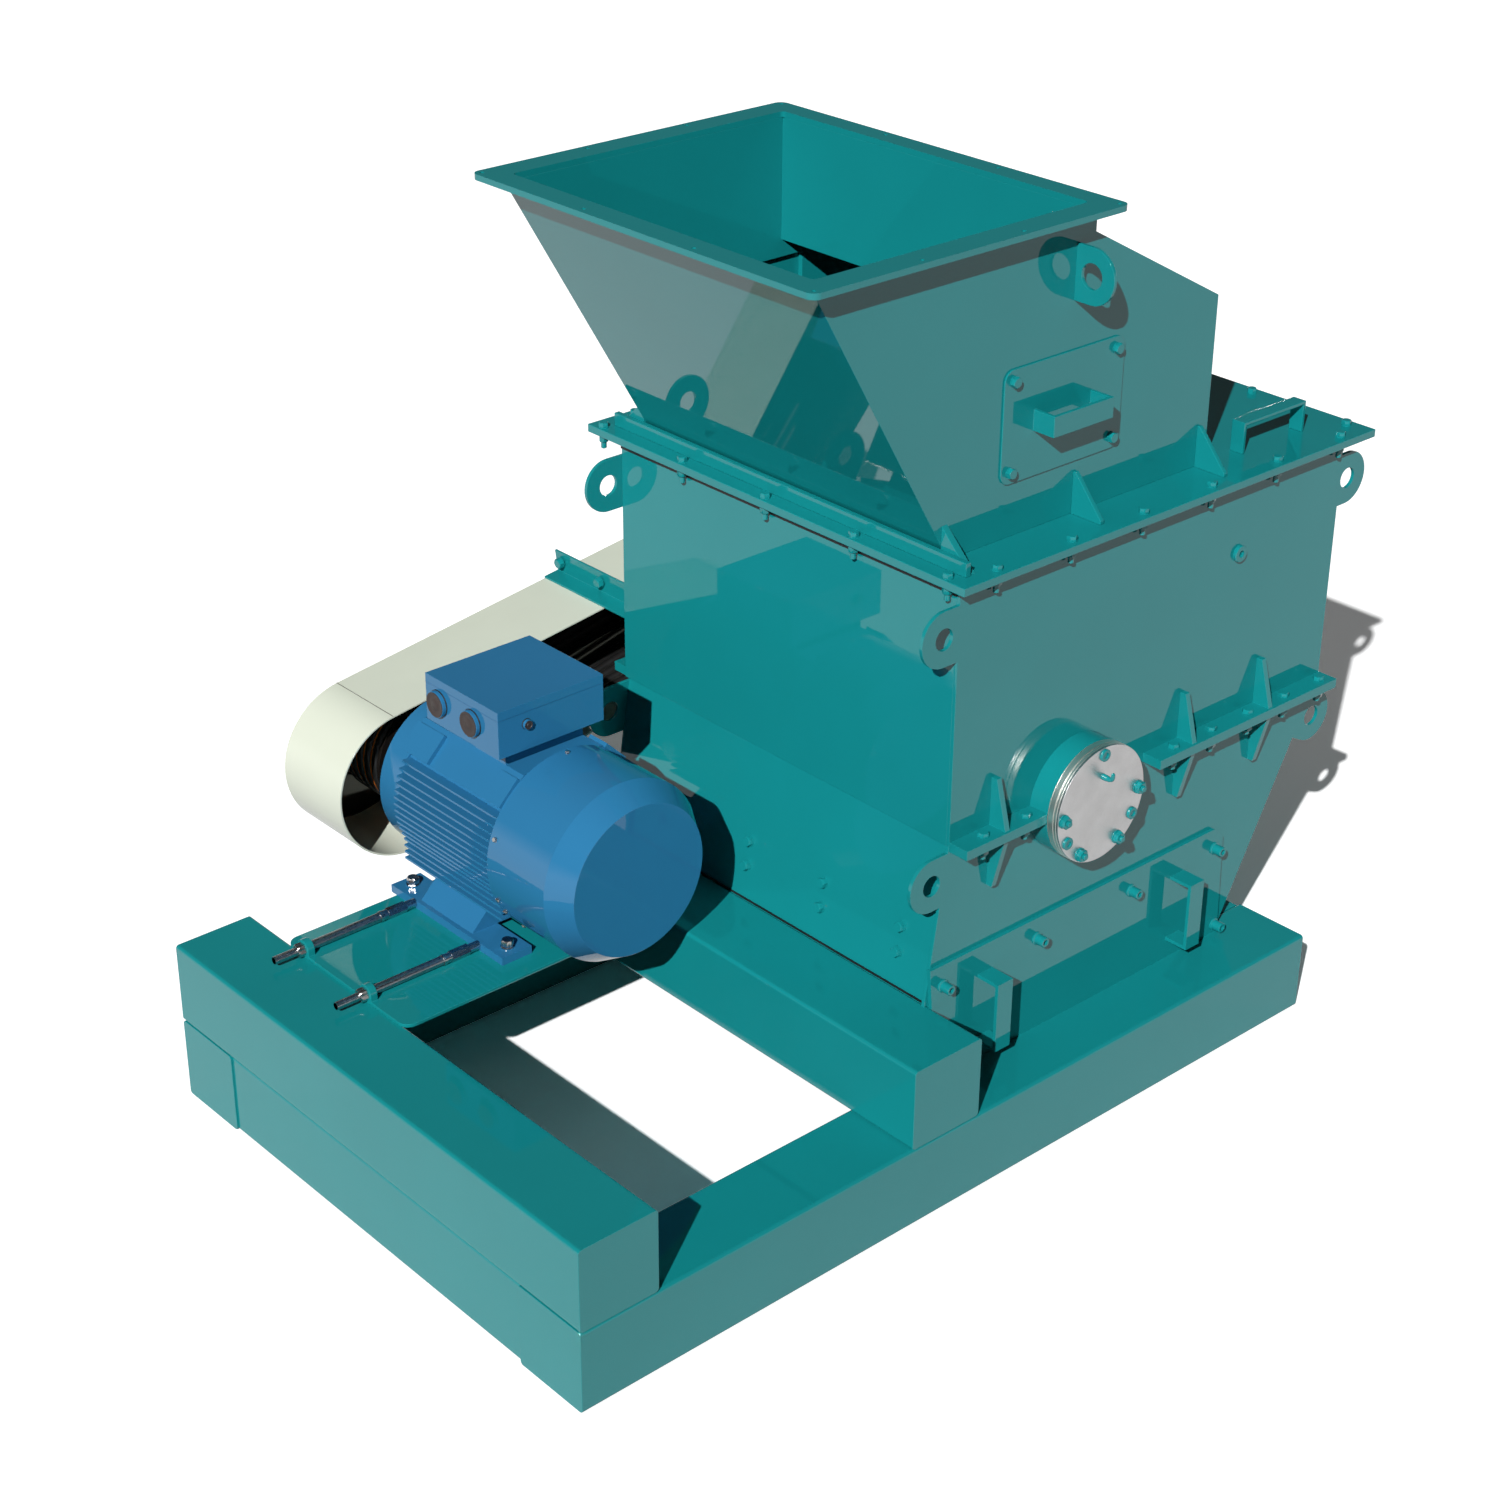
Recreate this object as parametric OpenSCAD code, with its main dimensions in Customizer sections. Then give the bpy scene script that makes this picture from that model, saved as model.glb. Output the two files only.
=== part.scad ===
// Hammer crusher on a welded box-section base, driven by a foot-mounted motor through V-belts.
// The feed hopper stands on the crusher's lid, and the belts run in a guard on the far side.
// X runs along the base from the motor end to the crusher, Y across it towards the belts, Z up.
// Places below are measured from the base's near corner at the motor end, on the floor.
// place() then moves that corner so that the origin is under the middle of the whole machine.

/* [Base frame] */
// Length of the two runners
base_len = 3060; // [3000:20:3400]
// Width over the two runners
base_wid = 2000; // [1950:10:2100]
// Height and width of the box section
tube = 275; // [250:5:280]
// Outer corner radius of the box section
tube_r = 12; // [6:1:20]
// Distance from the runner ends to the middle cross beam
middle_beam_x = 1242; // [1200:2:1260]

/* [Housing] */
// Distance from the runner ends to the housing's upper front wall
body_x = 1578; // [1560:1:1600]
// Length of the upper housing
body_len = 1722; // [1700:2:1760]
// Distance from the near side of the base to the near side plate
body_y = 227; // [200:1:240]
// Width over the housing's side plates
body_wid = 1500; // [1480:2:1520]
// Thickness of the two side plates
side_t = 12; // [10:1:20]
// Thickness of the housing's end walls
wall_t = 20; // [10:1:20]
// Height of the split between the lower and the upper housing, and of the rotor's axis
split_z = 1074; // [1050:2:1090]
// Height of the lid's top face
lid_z = 1930; // [1900:5:1960]
// Thickness of the lid
lid_t = 26; // [16:1:30]

/* [Rotor] */
// Distance from the housing's upper front wall to the rotor's axis
rotor_in = 532; // [528:1:545]
// Radius of the shaft in its bearings
shaft_r = 65; // [50:1:70]
// Radius of the rotor discs
disc_r = 370; // [340:5:380]
// Radius of the circle that the hammer tips run on
hammer_tip_r = 478; // [460:1:480]
// Number of rotor discs
disc_count = 6; // [4:1:7]

/* [Motor and belts] */
// Shaft height of the motor above its feet
motor_h = 315; // [300:1:320]
// Distance from the runner ends to the motor's shaft
motor_x = 985; // [960:1:1000]
// Thickness of the plate that the motor stands on
motor_plate_t = 12; // [8:1:16]
// Outer radius of the pulley on the motor
drive_pulley_r = 195; // [170:1:205]
// Outer radius of the pulley on the rotor
rotor_pulley_r = 155; // [140:1:160]
// Number of V-belts
belt_count = 5; // [3:1:5]
// Width of the belt guard
guard_wid = 317; // [300:1:330]

/* [Hopper] */
// Distance from the housing's upper front wall to the hopper's lower front edge
hopper_in = 70; // [66:1:82]
// Length of the hopper where it stands on the lid
hopper_len = 1113; // [1080:1:1130]
// Width over the hopper's side walls
hopper_wid = 1304; // [1280:2:1320]
// Thickness of the hopper's walls
hopper_t = 18; // [10:1:20]
// Height of the hopper above the lid
hopper_h = 930; // [880:5:980]
// How far the front wall leans out over its height
hopper_lean = 543; // [480:1:560]

/* [Hidden] */
$fn = 96;

teal = [0.08, 0.53, 0.53];
blue = [0.19, 0.50, 0.71];
cream = [0.85, 0.86, 0.79];
steel = [0.69, 0.69, 0.69];
dark = [0.25, 0.25, 0.28];
orange = [0.88, 0.46, 0.18];
black = [0.07, 0.07, 0.07];

cut = 1;                 // how far a cutter reaches past the face it cuts
fit = 0.3;               // radial clearance of a shaft or pin in its hole
arc_step = 4;            // largest angle between the points of a computed arc

// Base
beam_top = 2 * tube;
middle_beam_end = middle_beam_x + tube;
member_inset = 6;

// Housing
body_end = body_x + body_len;
rotor_x = body_x + rotor_in;
hopper_x = body_x + hopper_in;
near_out = body_y;
near_in = body_y + side_t;
far_out = body_y + body_wid;
far_in = far_out - side_t;
inner_wid = far_in - near_in;
lid_under = lid_z - lid_t;
far_side_gap = 5;                        // the far plates start this far behind the front walls
far_side_x = body_x + wall_t + far_side_gap;
foot_lean = 78;                          // how far the lower front edges lean out at the beams
toe_lap = 16;                            // how far the near plate's toe laps the middle beam
front_foot_x = middle_beam_end - toe_lap;
rear_lean = 0.526;                       // slope of the lower rear edge, X over Z
rear_foot_x = body_end - rear_lean * (split_z - tube);
front_inset = 18;                        // the lower front wall stands back from the plate edges

// Flanges along the split
flange_wid = 74;
flange_t = 16;
flange_clear = [185, 320]; // from the rotor's axis to the flanges' front and rear parts
front_flange_end = rotor_x - flange_clear[0];
rear_flange_start = rotor_x + flange_clear[1];
gusset_ahead = 167;      // from the housing's front to the front gusset
front_gussets = [body_x + gusset_ahead];
gusset_back = [712, 340]; // from the rear gussets to the housing's rear end
rear_gussets = [for (back = gusset_back) body_end - back];
gusset_t = 20;
gusset_tip = 8;          // how far a gusset's tip stays inside the flange's edge
gusset_h = [175, 158];   // heights of the gussets under and over the flanges
gusset_top = 22;

// Lugs
lug_r = 88;
lug_hole_r = 34;
lug_past = [56, 38];     // how far the upper holes lie past the housing, front and rear
upper_lug_drop = 141;    // from the lid down to the upper holes
lower_lug_drop = [108, 143];             // from the split to the lower ones, front and rear
lower_lug_shift = [10, 53];              // and how far these lie before the upper ones
front_lug_x = body_x - lug_past[0];
rear_lug_x = body_end + lug_past[1];
upper_lug_z = lid_under - upper_lug_drop;
lower_front_lug_z = split_z - lower_lug_drop[0];
lower_rear_lug_z = split_z - lower_lug_drop[1];
lower_front_lug_x = front_lug_x - lower_lug_shift[0];
lower_rear_lug_x = rear_lug_x - lower_lug_shift[1];
lug_neck = 40;           // how far a lug's neck runs into the plate
slant_neck = 120;        // length of the neck that stands square to the slanted rear edge

// Bearings
bearing_r = 192;
bearing_reach = 108;
bearing_groove_at = [73, 96];            // from the side plate to the two grooves round a bearing
bearing_groove = [3, 4]; // their width and depth
cover_r = 191;
cover_t = 8;
shaft_mid_r = 90;
shaft_hole_r = 100;

// Rotor
hammer_pin_r = 25;
hammer_pin_circle = 300;
hammer_t = 70;
hammer_w = 120;
disc_t = 34;
hammer_rows = 4;
disc_gap = 90;           // from the side plates to the outer discs
disc_first_y = near_in + disc_gap;
disc_pitch = (inner_wid - 2 * disc_gap - disc_t) / (disc_count - 1);
first_pin = 45;          // angle of the first row of hammers
pin_past = 20;           // how far a pin reaches past the outer discs
neck_run = 40;           // from the side plates to the shaft's thick middle

// Motor
foot_z = beam_top + motor_plate_t;
motor_z = foot_z + motor_h;
motor_front_y = 931;
cover_edge_y = 1012;
cover_rear_y = 1290;
shield_y = 1797;
shield_end_y = 1922;
shield_r = 267;
cover_face_r = 250;
cover_max_r = 300;
barrel_r = 258;
deck_half = 150;         // half the width of the flat on top of the frame
deck_h = 265;            // and its height over the shaft
shoulder = 86;           // what the sloped shoulders span, across and down
shoulder_t = 20;
pad_h = 15;              // height of the four eye-bolt pads over the shoulders
pad_len = [82, 137];     // their lengths at the fan end and at the drive end
fin_r = 284;
fin_low_reach = 254;     // the lower fins all reach at least this far out
fin_t = 7;
fin_pitch = 23;
fin_top = 143;           // height of the first fin over the shaft
fin_count = 16;
saddle_y = 1400;
saddle_len = 268;
saddle_top = 200;        // the saddle's sloped sides run up to this far out and down
foot_out = 304;
foot_w = 113;
foot_t = 27;
foot_y = 1225;
foot_len = 585;
box_len = 404;
box_wid = 367;
box_h = 157;
box_lift = 315;          // from the motor's shaft up to the terminal box
box_inset = 90;          // from the terminal box to the drive end shield
box_x = motor_x - box_len / 2;
box_y = shield_y - box_inset - box_wid;
box_z = motor_z + box_lift;
box_lap = 40;            // how far the box reaches past its seat
gland_at = [130, 301];   // where the two cable glands sit along the box
gland_r = 43;
gland_t = 16;
gland_up = 76;
plug_in = 106;
plug_up = 88;
plug_r = 16;
plug_t = 12;
shield_slope = [30, 16]; // width and depth of the shield's sloped edge
shield_lip = 8;
hub_out_r = 125;
hub_end_r = 110;
motor_shaft_r = 40;
shaft_depth = 160;       // depth of the shaft's bore in the frame
shaft_past = 6;          // how far both shafts reach past their pulleys
cover_lap = 60;          // how far the fan cover laps over the frame

// Motor plate and jack screws
plate_reach = [980, 130];                // how far the plate reaches before and over the middle beam
plate_x = middle_beam_x - plate_reach[0];
plate_end = middle_beam_x + plate_reach[1];
plate_y = 1143;
plate_wid = 640;
plate_r = 40;
ear_t = 25;
ear_r = 30;
screw_up = 17;           // from the plate's top to the jack screws
screw_z = foot_z + screw_up;
near_screw_y = 1350;
far_screw_y = 1684;
screw_r = 11;
rod_start = 105;         // how far the rod reaches out before the plate
collar_at = 295;         // from the plate's front to the screws' collars
collar_x = plate_x + collar_at;
nut_len = 24;
nut_r = 21;
collar_r = 16;
collar_len = 18;
hex_r = 19;              // corner radius of the long hex, which clears the plate
hex_len = 68;
nose_r = 15;

// Belt drive
guard_y = 1950;
guard_t = 6;
guard_end = guard_y + guard_wid;
guard_motor_x = 854;
guard_lift = 289;        // from the beams up to the guard's round end over the motor
guard_motor_z = beam_top + guard_lift;
guard_motor_r = 254;
guard_rotor_r = 192;
groove_pitch = 40;
groove_depth = 22;
groove_floor = 18;       // width of a groove at its floor
groove_mouth = 32;       // and at the pulley's rim
rim_side = 8;            // what is left of the rim outside the first and last pitch
pulley_wid = belt_count * groove_pitch + 2 * rim_side;
pulley_shift = 8;        // the pulleys stand this far towards the guard's closed back
pulley_y = guard_y + (guard_wid - guard_t - pulley_wid) / 2 + pulley_shift;
belt_in = 16;            // how far a belt's inner face lies under the pulley's rim
belt_out = 3;            // and how far its back stands out over it
belt_w = groove_floor + (groove_mouth - groove_floor) * (1 - belt_in / groove_depth) - 2 * fit;
web_t = 40;
hub_t = 30;
rim_under = 20;          // what is left of a pulley's rim under its grooves
bracket_back = 412;      // from the guard's round end over the rotor to the bracket
bracket_leg = 67;
bracket_h = 85;
bracket_t = 8;
bracket_lift = 0.1;      // clearance between the bracket and the guard's sloped top

// Hopper
hopper_shift = 23;       // the hopper's middle lies this far past the housing's
hopper_mid_y = near_out + body_wid / 2 + hopper_shift;
hopper_y = hopper_mid_y - hopper_wid / 2;
hopper_end = hopper_x + hopper_len;
hopper_far = hopper_y + hopper_wid;
rim_t = 18;
rim_w = 72;
rim_hole_r = 7;
rim_hole_inset = 24;
hopper_top = lid_z + hopper_h - rim_t;
mouth_x = hopper_x - hopper_lean;
neck_in = 545;           // from the hopper's lower front edge to the back of its mouth
neck_h = 66;             // straight part of the back under the rim
chute_h = 537;           // height of the lower back wall over the lid
neck_x = hopper_x + neck_in;
neck_z = hopper_top - neck_h;
chute_z = lid_z + chute_h;
rim_front = 62;
rim_back = 58;
rim_x = mouth_x - rim_front;
rim_end = neck_x + rim_back;
rim_corner_r = 30;
mouth_corner_r = 14;
lean_share = 1.15;                       // what the front wall's lean adds to its thickness along X
lean_t = hopper_t * lean_share;
chute_lap = [0.25, 0.9];                 // inner corners of the sloped back, in wall thicknesses
baffle_h = 520;          // height over the lid of the lower edge of the plate behind the mouth
lug_out = 60;            // from the hopper's wall to the lifting hole
hopper_lug_at = [78, 745];               // before the mouth's back, and over the lid
hopper_lug_x = neck_x - hopper_lug_at[0];
hopper_lug_z = lid_z + hopper_lug_at[1];
hopper_lug_r = 84;
hopper_lug_t = 12;
hopper_lug_hole_r = 38;

// Inspection doors
door_at = [195, 168];    // from the hopper's lower front edge, along and up
door_x = hopper_x + door_at[0];
door_z = lid_z + door_at[1];
door_len = 500;
door_h = 346;
door_t = 6;
door_r = 36;
door_inset = [78, 51];   // from a door's edges to the opening behind it, along and up
grip_l = 250;
grip_h = 64;
grip_reach = 80;
grip_t = 12;
grip_x = door_x + (door_len - grip_l) / 2;
grip_z = door_z + (door_h - grip_h) / 2;

// Hatches on the feet of the side plates
hatch_t = 14;
hatch_gap = 3;           // from the hatch to the middle beam's faces
hatch_up = 12;           // from the runners to the hatch
hatch_drop = [393, 434]; // from the split to the top and to the cut corner's foot
hatch_back = [70, 22, 8];                // its cut corner and lower end before the rear wall's foot
hatch_top = split_z - hatch_drop[0];
hatch_corner_z = split_z - hatch_drop[1];
hatch_top_end = rear_foot_x - hatch_back[0];
hatch_corner_x = rear_foot_x - hatch_back[1];
hatch_end = rear_foot_x - hatch_back[2];
bail_at = [198, 277];    // from the middle beam and from the rear wall's foot
bail_up = 70;            // over the runners
hatch_bails = [middle_beam_end + bail_at[0], rear_foot_x - bail_at[1]];
hatch_bail_z = tube + bail_up;
bail_w = 65;
bail_reach = 86;
bail_h = 240;
bar_section = 12;        // thickness of every bail handle

// Lid
lid_ahead = [37, 90];    // how far the lid reaches past the housing, front and rear
lid_x = body_x - lid_ahead[0];
lid_end = body_end + lid_ahead[1];
lid_past = [50, 111];    // how far the lid reaches past the near and the far side plate
lid_y = near_out - lid_past[0];
lid_far = far_out + lid_past[1];
bar_h = 43;
bar_t = 20;
bar_out = 51;            // from the hopper to the bar before it
bar_x = hopper_x - bar_out;
bar_y = near_out;
bar_far = 2 * hopper_mid_y - bar_y;
rib_reach = 117;
rib_h = 133;
rib_t = 16;
rib_toe = 12;            // height of a rib at its outer end
rib_flat = 10;           // and its width at the top
rib_at = [510, 49];      // from the hopper's front and from its rear
rear_rib_x = [hopper_x + rib_at[0], hopper_end - rib_at[1]];
front_rib_h = 112;
front_rib_t = 24;
mouth_gap = 4;           // how far the lid's opening stays behind the sloped front wall
handle_at = [142, 89];   // from the hopper's rear and from the near side plate
handle_x = hopper_end + handle_at[0];
handle_y = near_out + handle_at[1];
handle_len = 300;
handle_w = 50;
handle_h = 102;

// The box that the whole machine fills, for the origin
x_min = 0;
x_max = max(base_len, lid_end, rear_lug_x + lug_r);
y_min = 0;
y_max = max(base_wid, guard_end);

module place() translate([-(x_min + x_max) / 2, -(y_min + y_max) / 2, 0]) children();

// A cylinder along +Y from (x, y, z)
module y_cyl(x, y, z, r, h) translate([x, y, z]) rotate([-90, 0, 0]) cylinder(r = r, h = h);

// A flat outline of X and Z points, extruded from y towards +Y
module xz_plate(points, y, t)
    translate([0, y + t, 0]) rotate([90, 0, 0]) linear_extrude(t) polygon(points);

// A flat outline of Y and Z points, extruded from x towards +X
module yz_plate(points, x, t)
    translate([x, 0, 0]) rotate([90, 0, 90]) linear_extrude(t) polygon(points);

// A solid of revolution about a line along +Y; its outline's points are radius and height
module y_turned(x, y, z, points)
    translate([x, y, z]) rotate([-90, 0, 0]) rotate_extrude() polygon(points);

// A rectangle with round corners, from the origin
module round_rect(w, h, r) {
    translate([r, 0]) square([w - 2 * r, h]);
    translate([0, r]) square([w, h - 2 * r]);
    for (x = [r, w - r], y = [r, h - r]) translate([x, y]) circle(r);
}

// A capped box section along +X or +Y from its lower near corner
module tube_along_x(x, y, z, l)
    translate([x, y, z]) rotate([90, 0, 90]) linear_extrude(l) round_rect(tube, tube, tube_r);
module tube_along_y(x, y, z, l)
    translate([x, y + l, z]) rotate([90, 0, 0]) linear_extrude(l) round_rect(tube, tube, tube_r);

// Direction from the middle of the first circle to that of the second
function run_of(x1, z1, x2, z2) = atan2(z2 - z1, x2 - x1);

// Angle between that direction and the radius to where a straight run leaves the circles
function open_of(x1, z1, r1, x2, z2, r2) = acos((r1 - r2) / norm([x2 - x1, z2 - z1]));

// Points of an arc round (x, z), from one angle to another in even steps
function arc(x, z, r, from, to) = let (n = ceil(abs(to - from) / arc_step))
    [for (i = [0 : n]) [x + r * cos(from + i * (to - from) / n), z + r * sin(from + i * (to - from) / n)]];

// A solid that wraps two circles like a belt, from y towards +Y
module wrap_solid(x1, z1, r1, x2, z2, r2, y, t) {
    run = run_of(x1, z1, x2, z2);
    open = open_of(x1, z1, r1, x2, z2, r2);
    xz_plate(concat(
        arc(x1, z1, r1, run + open, run - open + 360),
        arc(x2, z2, r2, run - open, run + open)), y, t);
}

module near_runner() color(teal) place() tube_along_x(0, 0, 0, base_len);

module far_runner() color(teal) place() tube_along_x(0, base_wid - tube, 0, base_len);

// The two lower members between the runners, set back a little from the runner ends
module cross_members() color(teal) place()
    for (x = [member_inset, base_len - tube - member_inset])
        tube_along_y(x, tube, 0, base_wid - 2 * tube);

module front_beam() color(teal) place() tube_along_y(0, 0, tube, base_wid);

module middle_beam() color(teal) place() tube_along_y(middle_beam_x, 0, tube, base_wid);

// An ear for a jack screw: a round-topped plate across the screw
module ear(y) {
    difference() {
        union() {
            translate([plate_x, y - ear_r, foot_z]) cube([ear_t, 2 * ear_r, screw_z - foot_z]);
            translate([plate_x, y, screw_z]) rotate([0, 90, 0]) cylinder(r = ear_r, h = ear_t);
        }
        translate([plate_x - cut, y, screw_z]) rotate([0, 90, 0])
            cylinder(r = screw_r + fit, h = ear_t + 2 * cut);
        translate([plate_x - cut, y - 2 * ear_r, foot_z - 2 * ear_r])
            cube([ear_t + 2 * cut, 4 * ear_r, 2 * ear_r]);
    }
}

module motor_plate() color(teal) place() {
    translate([plate_x, plate_y, beam_top])
        linear_extrude(motor_plate_t) round_rect(plate_end - plate_x, plate_wid, plate_r);
    ear(near_screw_y);
    ear(far_screw_y);
}

// A jack screw: the rod, the nut in front of its ear, the long hex and the nose at the foot
module jack_screw(y) {
    tip = motor_x - foot_out;
    collar = collar_x - plate_x;
    hex = collar + collar_len;
    nose = hex + hex_len;
    translate([plate_x, y, screw_z]) rotate([0, 90, 0]) {
        translate([0, 0, -rod_start]) cylinder(r = screw_r, h = rod_start + tip - plate_x);
        translate([0, 0, -nut_len]) cylinder(r = nut_r, h = nut_len, $fn = 6);
        translate([0, 0, collar]) cylinder(r = collar_r, h = collar_len);
        translate([0, 0, hex]) rotate([0, 0, 30]) cylinder(r = hex_r, h = hex_len, $fn = 6);
        translate([0, 0, nose]) cylinder(r = nose_r, h = tip - plate_x - nose);
    }
}

module jack_screws() color(dark) place() {
    jack_screw(near_screw_y);
    jack_screw(far_screw_y);
}

// Outline of the frame across the shaft: barrel, deck, shoulders and level fins
module frame_outline() {
    low = deck_h - shoulder;
    out = deck_half + shoulder;
    in = shoulder_t * cos(45);
    circle(barrel_r);
    polygon([
        [-deck_half, deck_h], [-out, low], [-out + in, low - in], [0, 0],
        [out - in, low - in], [out, low], [deck_half, deck_h]]);
    for (i = [0 : fin_count - 1]) {
        h = fin_top - i * fin_pitch;
        reach = max(sqrt(fin_r * fin_r - h * h), h < 0 ? fin_low_reach : 0);
        translate([-reach, h - fin_t / 2]) square([2 * reach, fin_t]);
    }
}

// A raised pad on one shoulder; side is -1 or 1
module shoulder_pad(side, y, l) {
    inset = 13;
    lift = pad_h * cos(45);
    x = motor_x + side * (deck_half + inset);
    x_end = motor_x + side * (deck_half + shoulder);
    z = motor_z + deck_h;
    xz_plate([
        [x, z - inset], [x_end, z - shoulder], [x_end + side * lift, z - shoulder + lift],
        [x + side * lift, z - inset + lift]], y, l);
}

module motor_foot(x) translate([x, foot_y, foot_z]) cube([foot_w, foot_len, foot_t]);

module motor_frame() color(blue) place() difference() {
    union() {
        translate([motor_x, shield_y, motor_z]) rotate([90, 0, 0])
            linear_extrude(shield_y - cover_rear_y) frame_outline();
        y_cyl(motor_x, cover_rear_y - cover_lap, motor_z, barrel_r, cover_lap);
        for (side = [-1, 1]) {
            shoulder_pad(side, cover_rear_y, pad_len[0]);
            shoulder_pad(side, shield_y - pad_len[1], pad_len[1]);
        }
        motor_foot(motor_x - foot_out);
        motor_foot(motor_x + foot_out - foot_w);
        // The saddle between the feet and the barrel, with sloped sides
        drop = motor_h - foot_t;
        xz_plate([
            [motor_x - drop, motor_z - drop], [motor_x + drop, motor_z - drop],
            [motor_x + saddle_top, motor_z - saddle_top],
            [motor_x - saddle_top, motor_z - saddle_top]], saddle_y, saddle_len);
        // The seat of the terminal box
        translate([motor_x - deck_half, box_y + box_lap, motor_z])
            cube([2 * deck_half, box_wid - 2 * box_lap, box_z - motor_z]);
    }
    y_cyl(motor_x, shield_y - shaft_depth, motor_z, motor_shaft_r + fit, shaft_depth + cut);
}

// The cover over the fan, solid inside, which laps over the end of the frame's barrel
module fan_cover() color(blue) place() {
    l = cover_rear_y - motor_front_y;
    y_turned(motor_x, motor_front_y, motor_z, [
        [0, 0], [cover_face_r, 0], [cover_max_r, cover_edge_y - motor_front_y],
        [cover_max_r, l], [barrel_r + fit, l], [barrel_r + fit, l - cover_lap],
        [0, l - cover_lap]]);
}

// The end shield: a drum with a sloped edge, a dished face and the bearing's hub
module drive_end_shield() color(blue) place() {
    l = shield_end_y - shield_y;
    y_turned(motor_x, shield_y, motor_z, [
        [motor_shaft_r + fit, 0], [shield_r, 0], [shield_r, l - shield_lip - shield_slope[1]],
        [shield_r - shield_slope[0], l - shield_lip],
        [hub_out_r, l - shield_lip - shield_slope[1] + 2], [hub_end_r, l],
        [motor_shaft_r + fit, l]]);
}

module terminal_box() color(blue) place() {
    translate([box_x, box_y, box_z]) cube([box_len, box_wid, box_h]);
    // Two cable glands on the front and one plug on the near side
    for (at = gland_at)
        translate([box_x - gland_t, box_y + at, box_z + gland_up])
            rotate([0, 90, 0]) cylinder(r = gland_r, h = gland_t);
    y_cyl(box_x + plug_in, box_y - plug_t, box_z + plug_up, plug_r, plug_t);
}

module motor_shaft() color(steel) place() {
    start = shield_y - shaft_depth + 5;
    y_cyl(motor_x, start, motor_z, motor_shaft_r, pulley_y + pulley_wid + shaft_past - start);
}

// Where the middle of a groove lies over the pulley's near face
function groove_at(i) = rim_side + (i + 0.5) * groove_pitch;

// Radius and height points of a grooved rim's outer face, from low to high
function grooves(r) = [
    for (i = [0 : belt_count - 1], p = [
            [-groove_mouth / 2, 0], [-groove_floor / 2, groove_depth],
            [groove_floor / 2, groove_depth], [groove_mouth / 2, 0]])
        [r - p[1], groove_at(i) + p[0]]];

// A belt pulley with a bore for its shaft, its hub as wide as the rim and a web between
module pulley(x, z, r, bore) {
    rim_in = r - groove_depth - rim_under;
    hub_r = bore + hub_t;
    web = (pulley_wid - web_t) / 2;
    y_turned(x, pulley_y, z, concat(
        [[bore, 0], [hub_r, 0], [hub_r, web], [rim_in, web], [rim_in, 0], [r, 0]],
        grooves(r),
        [[r, pulley_wid], [rim_in, pulley_wid], [rim_in, web + web_t], [hub_r, web + web_t],
         [hub_r, pulley_wid], [bore, pulley_wid]]));
}

module drive_pulley() color(orange) place()
    pulley(motor_x, motor_z, drive_pulley_r, motor_shaft_r + fit);

module rotor_pulley() color(orange) place()
    pulley(rotor_x, split_z, rotor_pulley_r, shaft_r + fit);

module drive_belts() color(black) place()
    for (i = [0 : belt_count - 1])
        difference() {
            y = pulley_y + groove_at(i) - belt_w / 2;
            wrap_solid(motor_x, motor_z, drive_pulley_r + belt_out,
                rotor_x, split_z, rotor_pulley_r + belt_out, y, belt_w);
            wrap_solid(motor_x, motor_z, drive_pulley_r - belt_in,
                rotor_x, split_z, rotor_pulley_r - belt_in, y - cut, belt_w + 2 * cut);
        }

// A closed back with a wrap round it; the side towards the motor and housing is open
module belt_guard() color(cream) place() difference() {
    wrap_solid(guard_motor_x, guard_motor_z, guard_motor_r,
        rotor_x, split_z, guard_rotor_r, guard_y, guard_wid);
    wrap_solid(guard_motor_x, guard_motor_z, guard_motor_r - guard_t,
        rotor_x, split_z, guard_rotor_r - guard_t, guard_y - cut, guard_wid - guard_t + cut);
}

// An angle bar from the far side plate over the top of the guard
module guard_bracket() color(teal) place() {
    lift = run_of(guard_motor_x, guard_motor_z, rotor_x, split_z)
        + open_of(guard_motor_x, guard_motor_z, guard_motor_r, rotor_x, split_z, guard_rotor_r);
    span = norm([rotor_x - guard_motor_x, split_z - guard_motor_z]);
    translate([guard_motor_x + guard_motor_r * cos(lift), 0, guard_motor_z + guard_motor_r * sin(lift)])
        rotate([0, 90 - lift, 0])
            translate([span - bracket_back, far_out, bracket_lift]) {
                cube([bracket_leg, guard_end - far_out, bracket_t]);
                translate([bracket_leg - bracket_t, 0, 0])
                    cube([bracket_t, guard_end - far_out, bracket_h]);
            }
}

// A round lifting lug with a neck of some length, in the plane of a side plate; the neck runs
// towards +X when turn is 0
module lug_outline(x, z, turn, neck) translate([x, z]) rotate(turn) {
    circle(lug_r);
    translate([0, -lug_r]) square([neck, 2 * lug_r]);
}

// A lower side plate with its two lugs; the shaft's half hole is in its top edge
module lower_side(y, front_x) translate([0, y + side_t, 0]) rotate([90, 0, 0])
    linear_extrude(side_t) difference() {
        union() {
            polygon([
                [front_x, split_z], [front_x - foot_lean, beam_top],
                [middle_beam_end, beam_top], [middle_beam_end, tube], [rear_foot_x, tube],
                [body_end, split_z]]);
            lug_outline(lower_front_lug_x, lower_front_lug_z, 0,
                front_x + lug_neck - lower_front_lug_x);
            lug_outline(lower_rear_lug_x, lower_rear_lug_z, 180 - atan(rear_lean), slant_neck);
        }
        translate([lower_front_lug_x, lower_front_lug_z]) circle(lug_hole_r);
        translate([lower_rear_lug_x, lower_rear_lug_z]) circle(lug_hole_r);
        translate([rotor_x, split_z]) circle(shaft_hole_r);
    }

module near_lower_side() color(teal) place() lower_side(near_out, body_x);

module far_lower_side() color(teal) place() lower_side(far_in, far_side_x);

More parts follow.
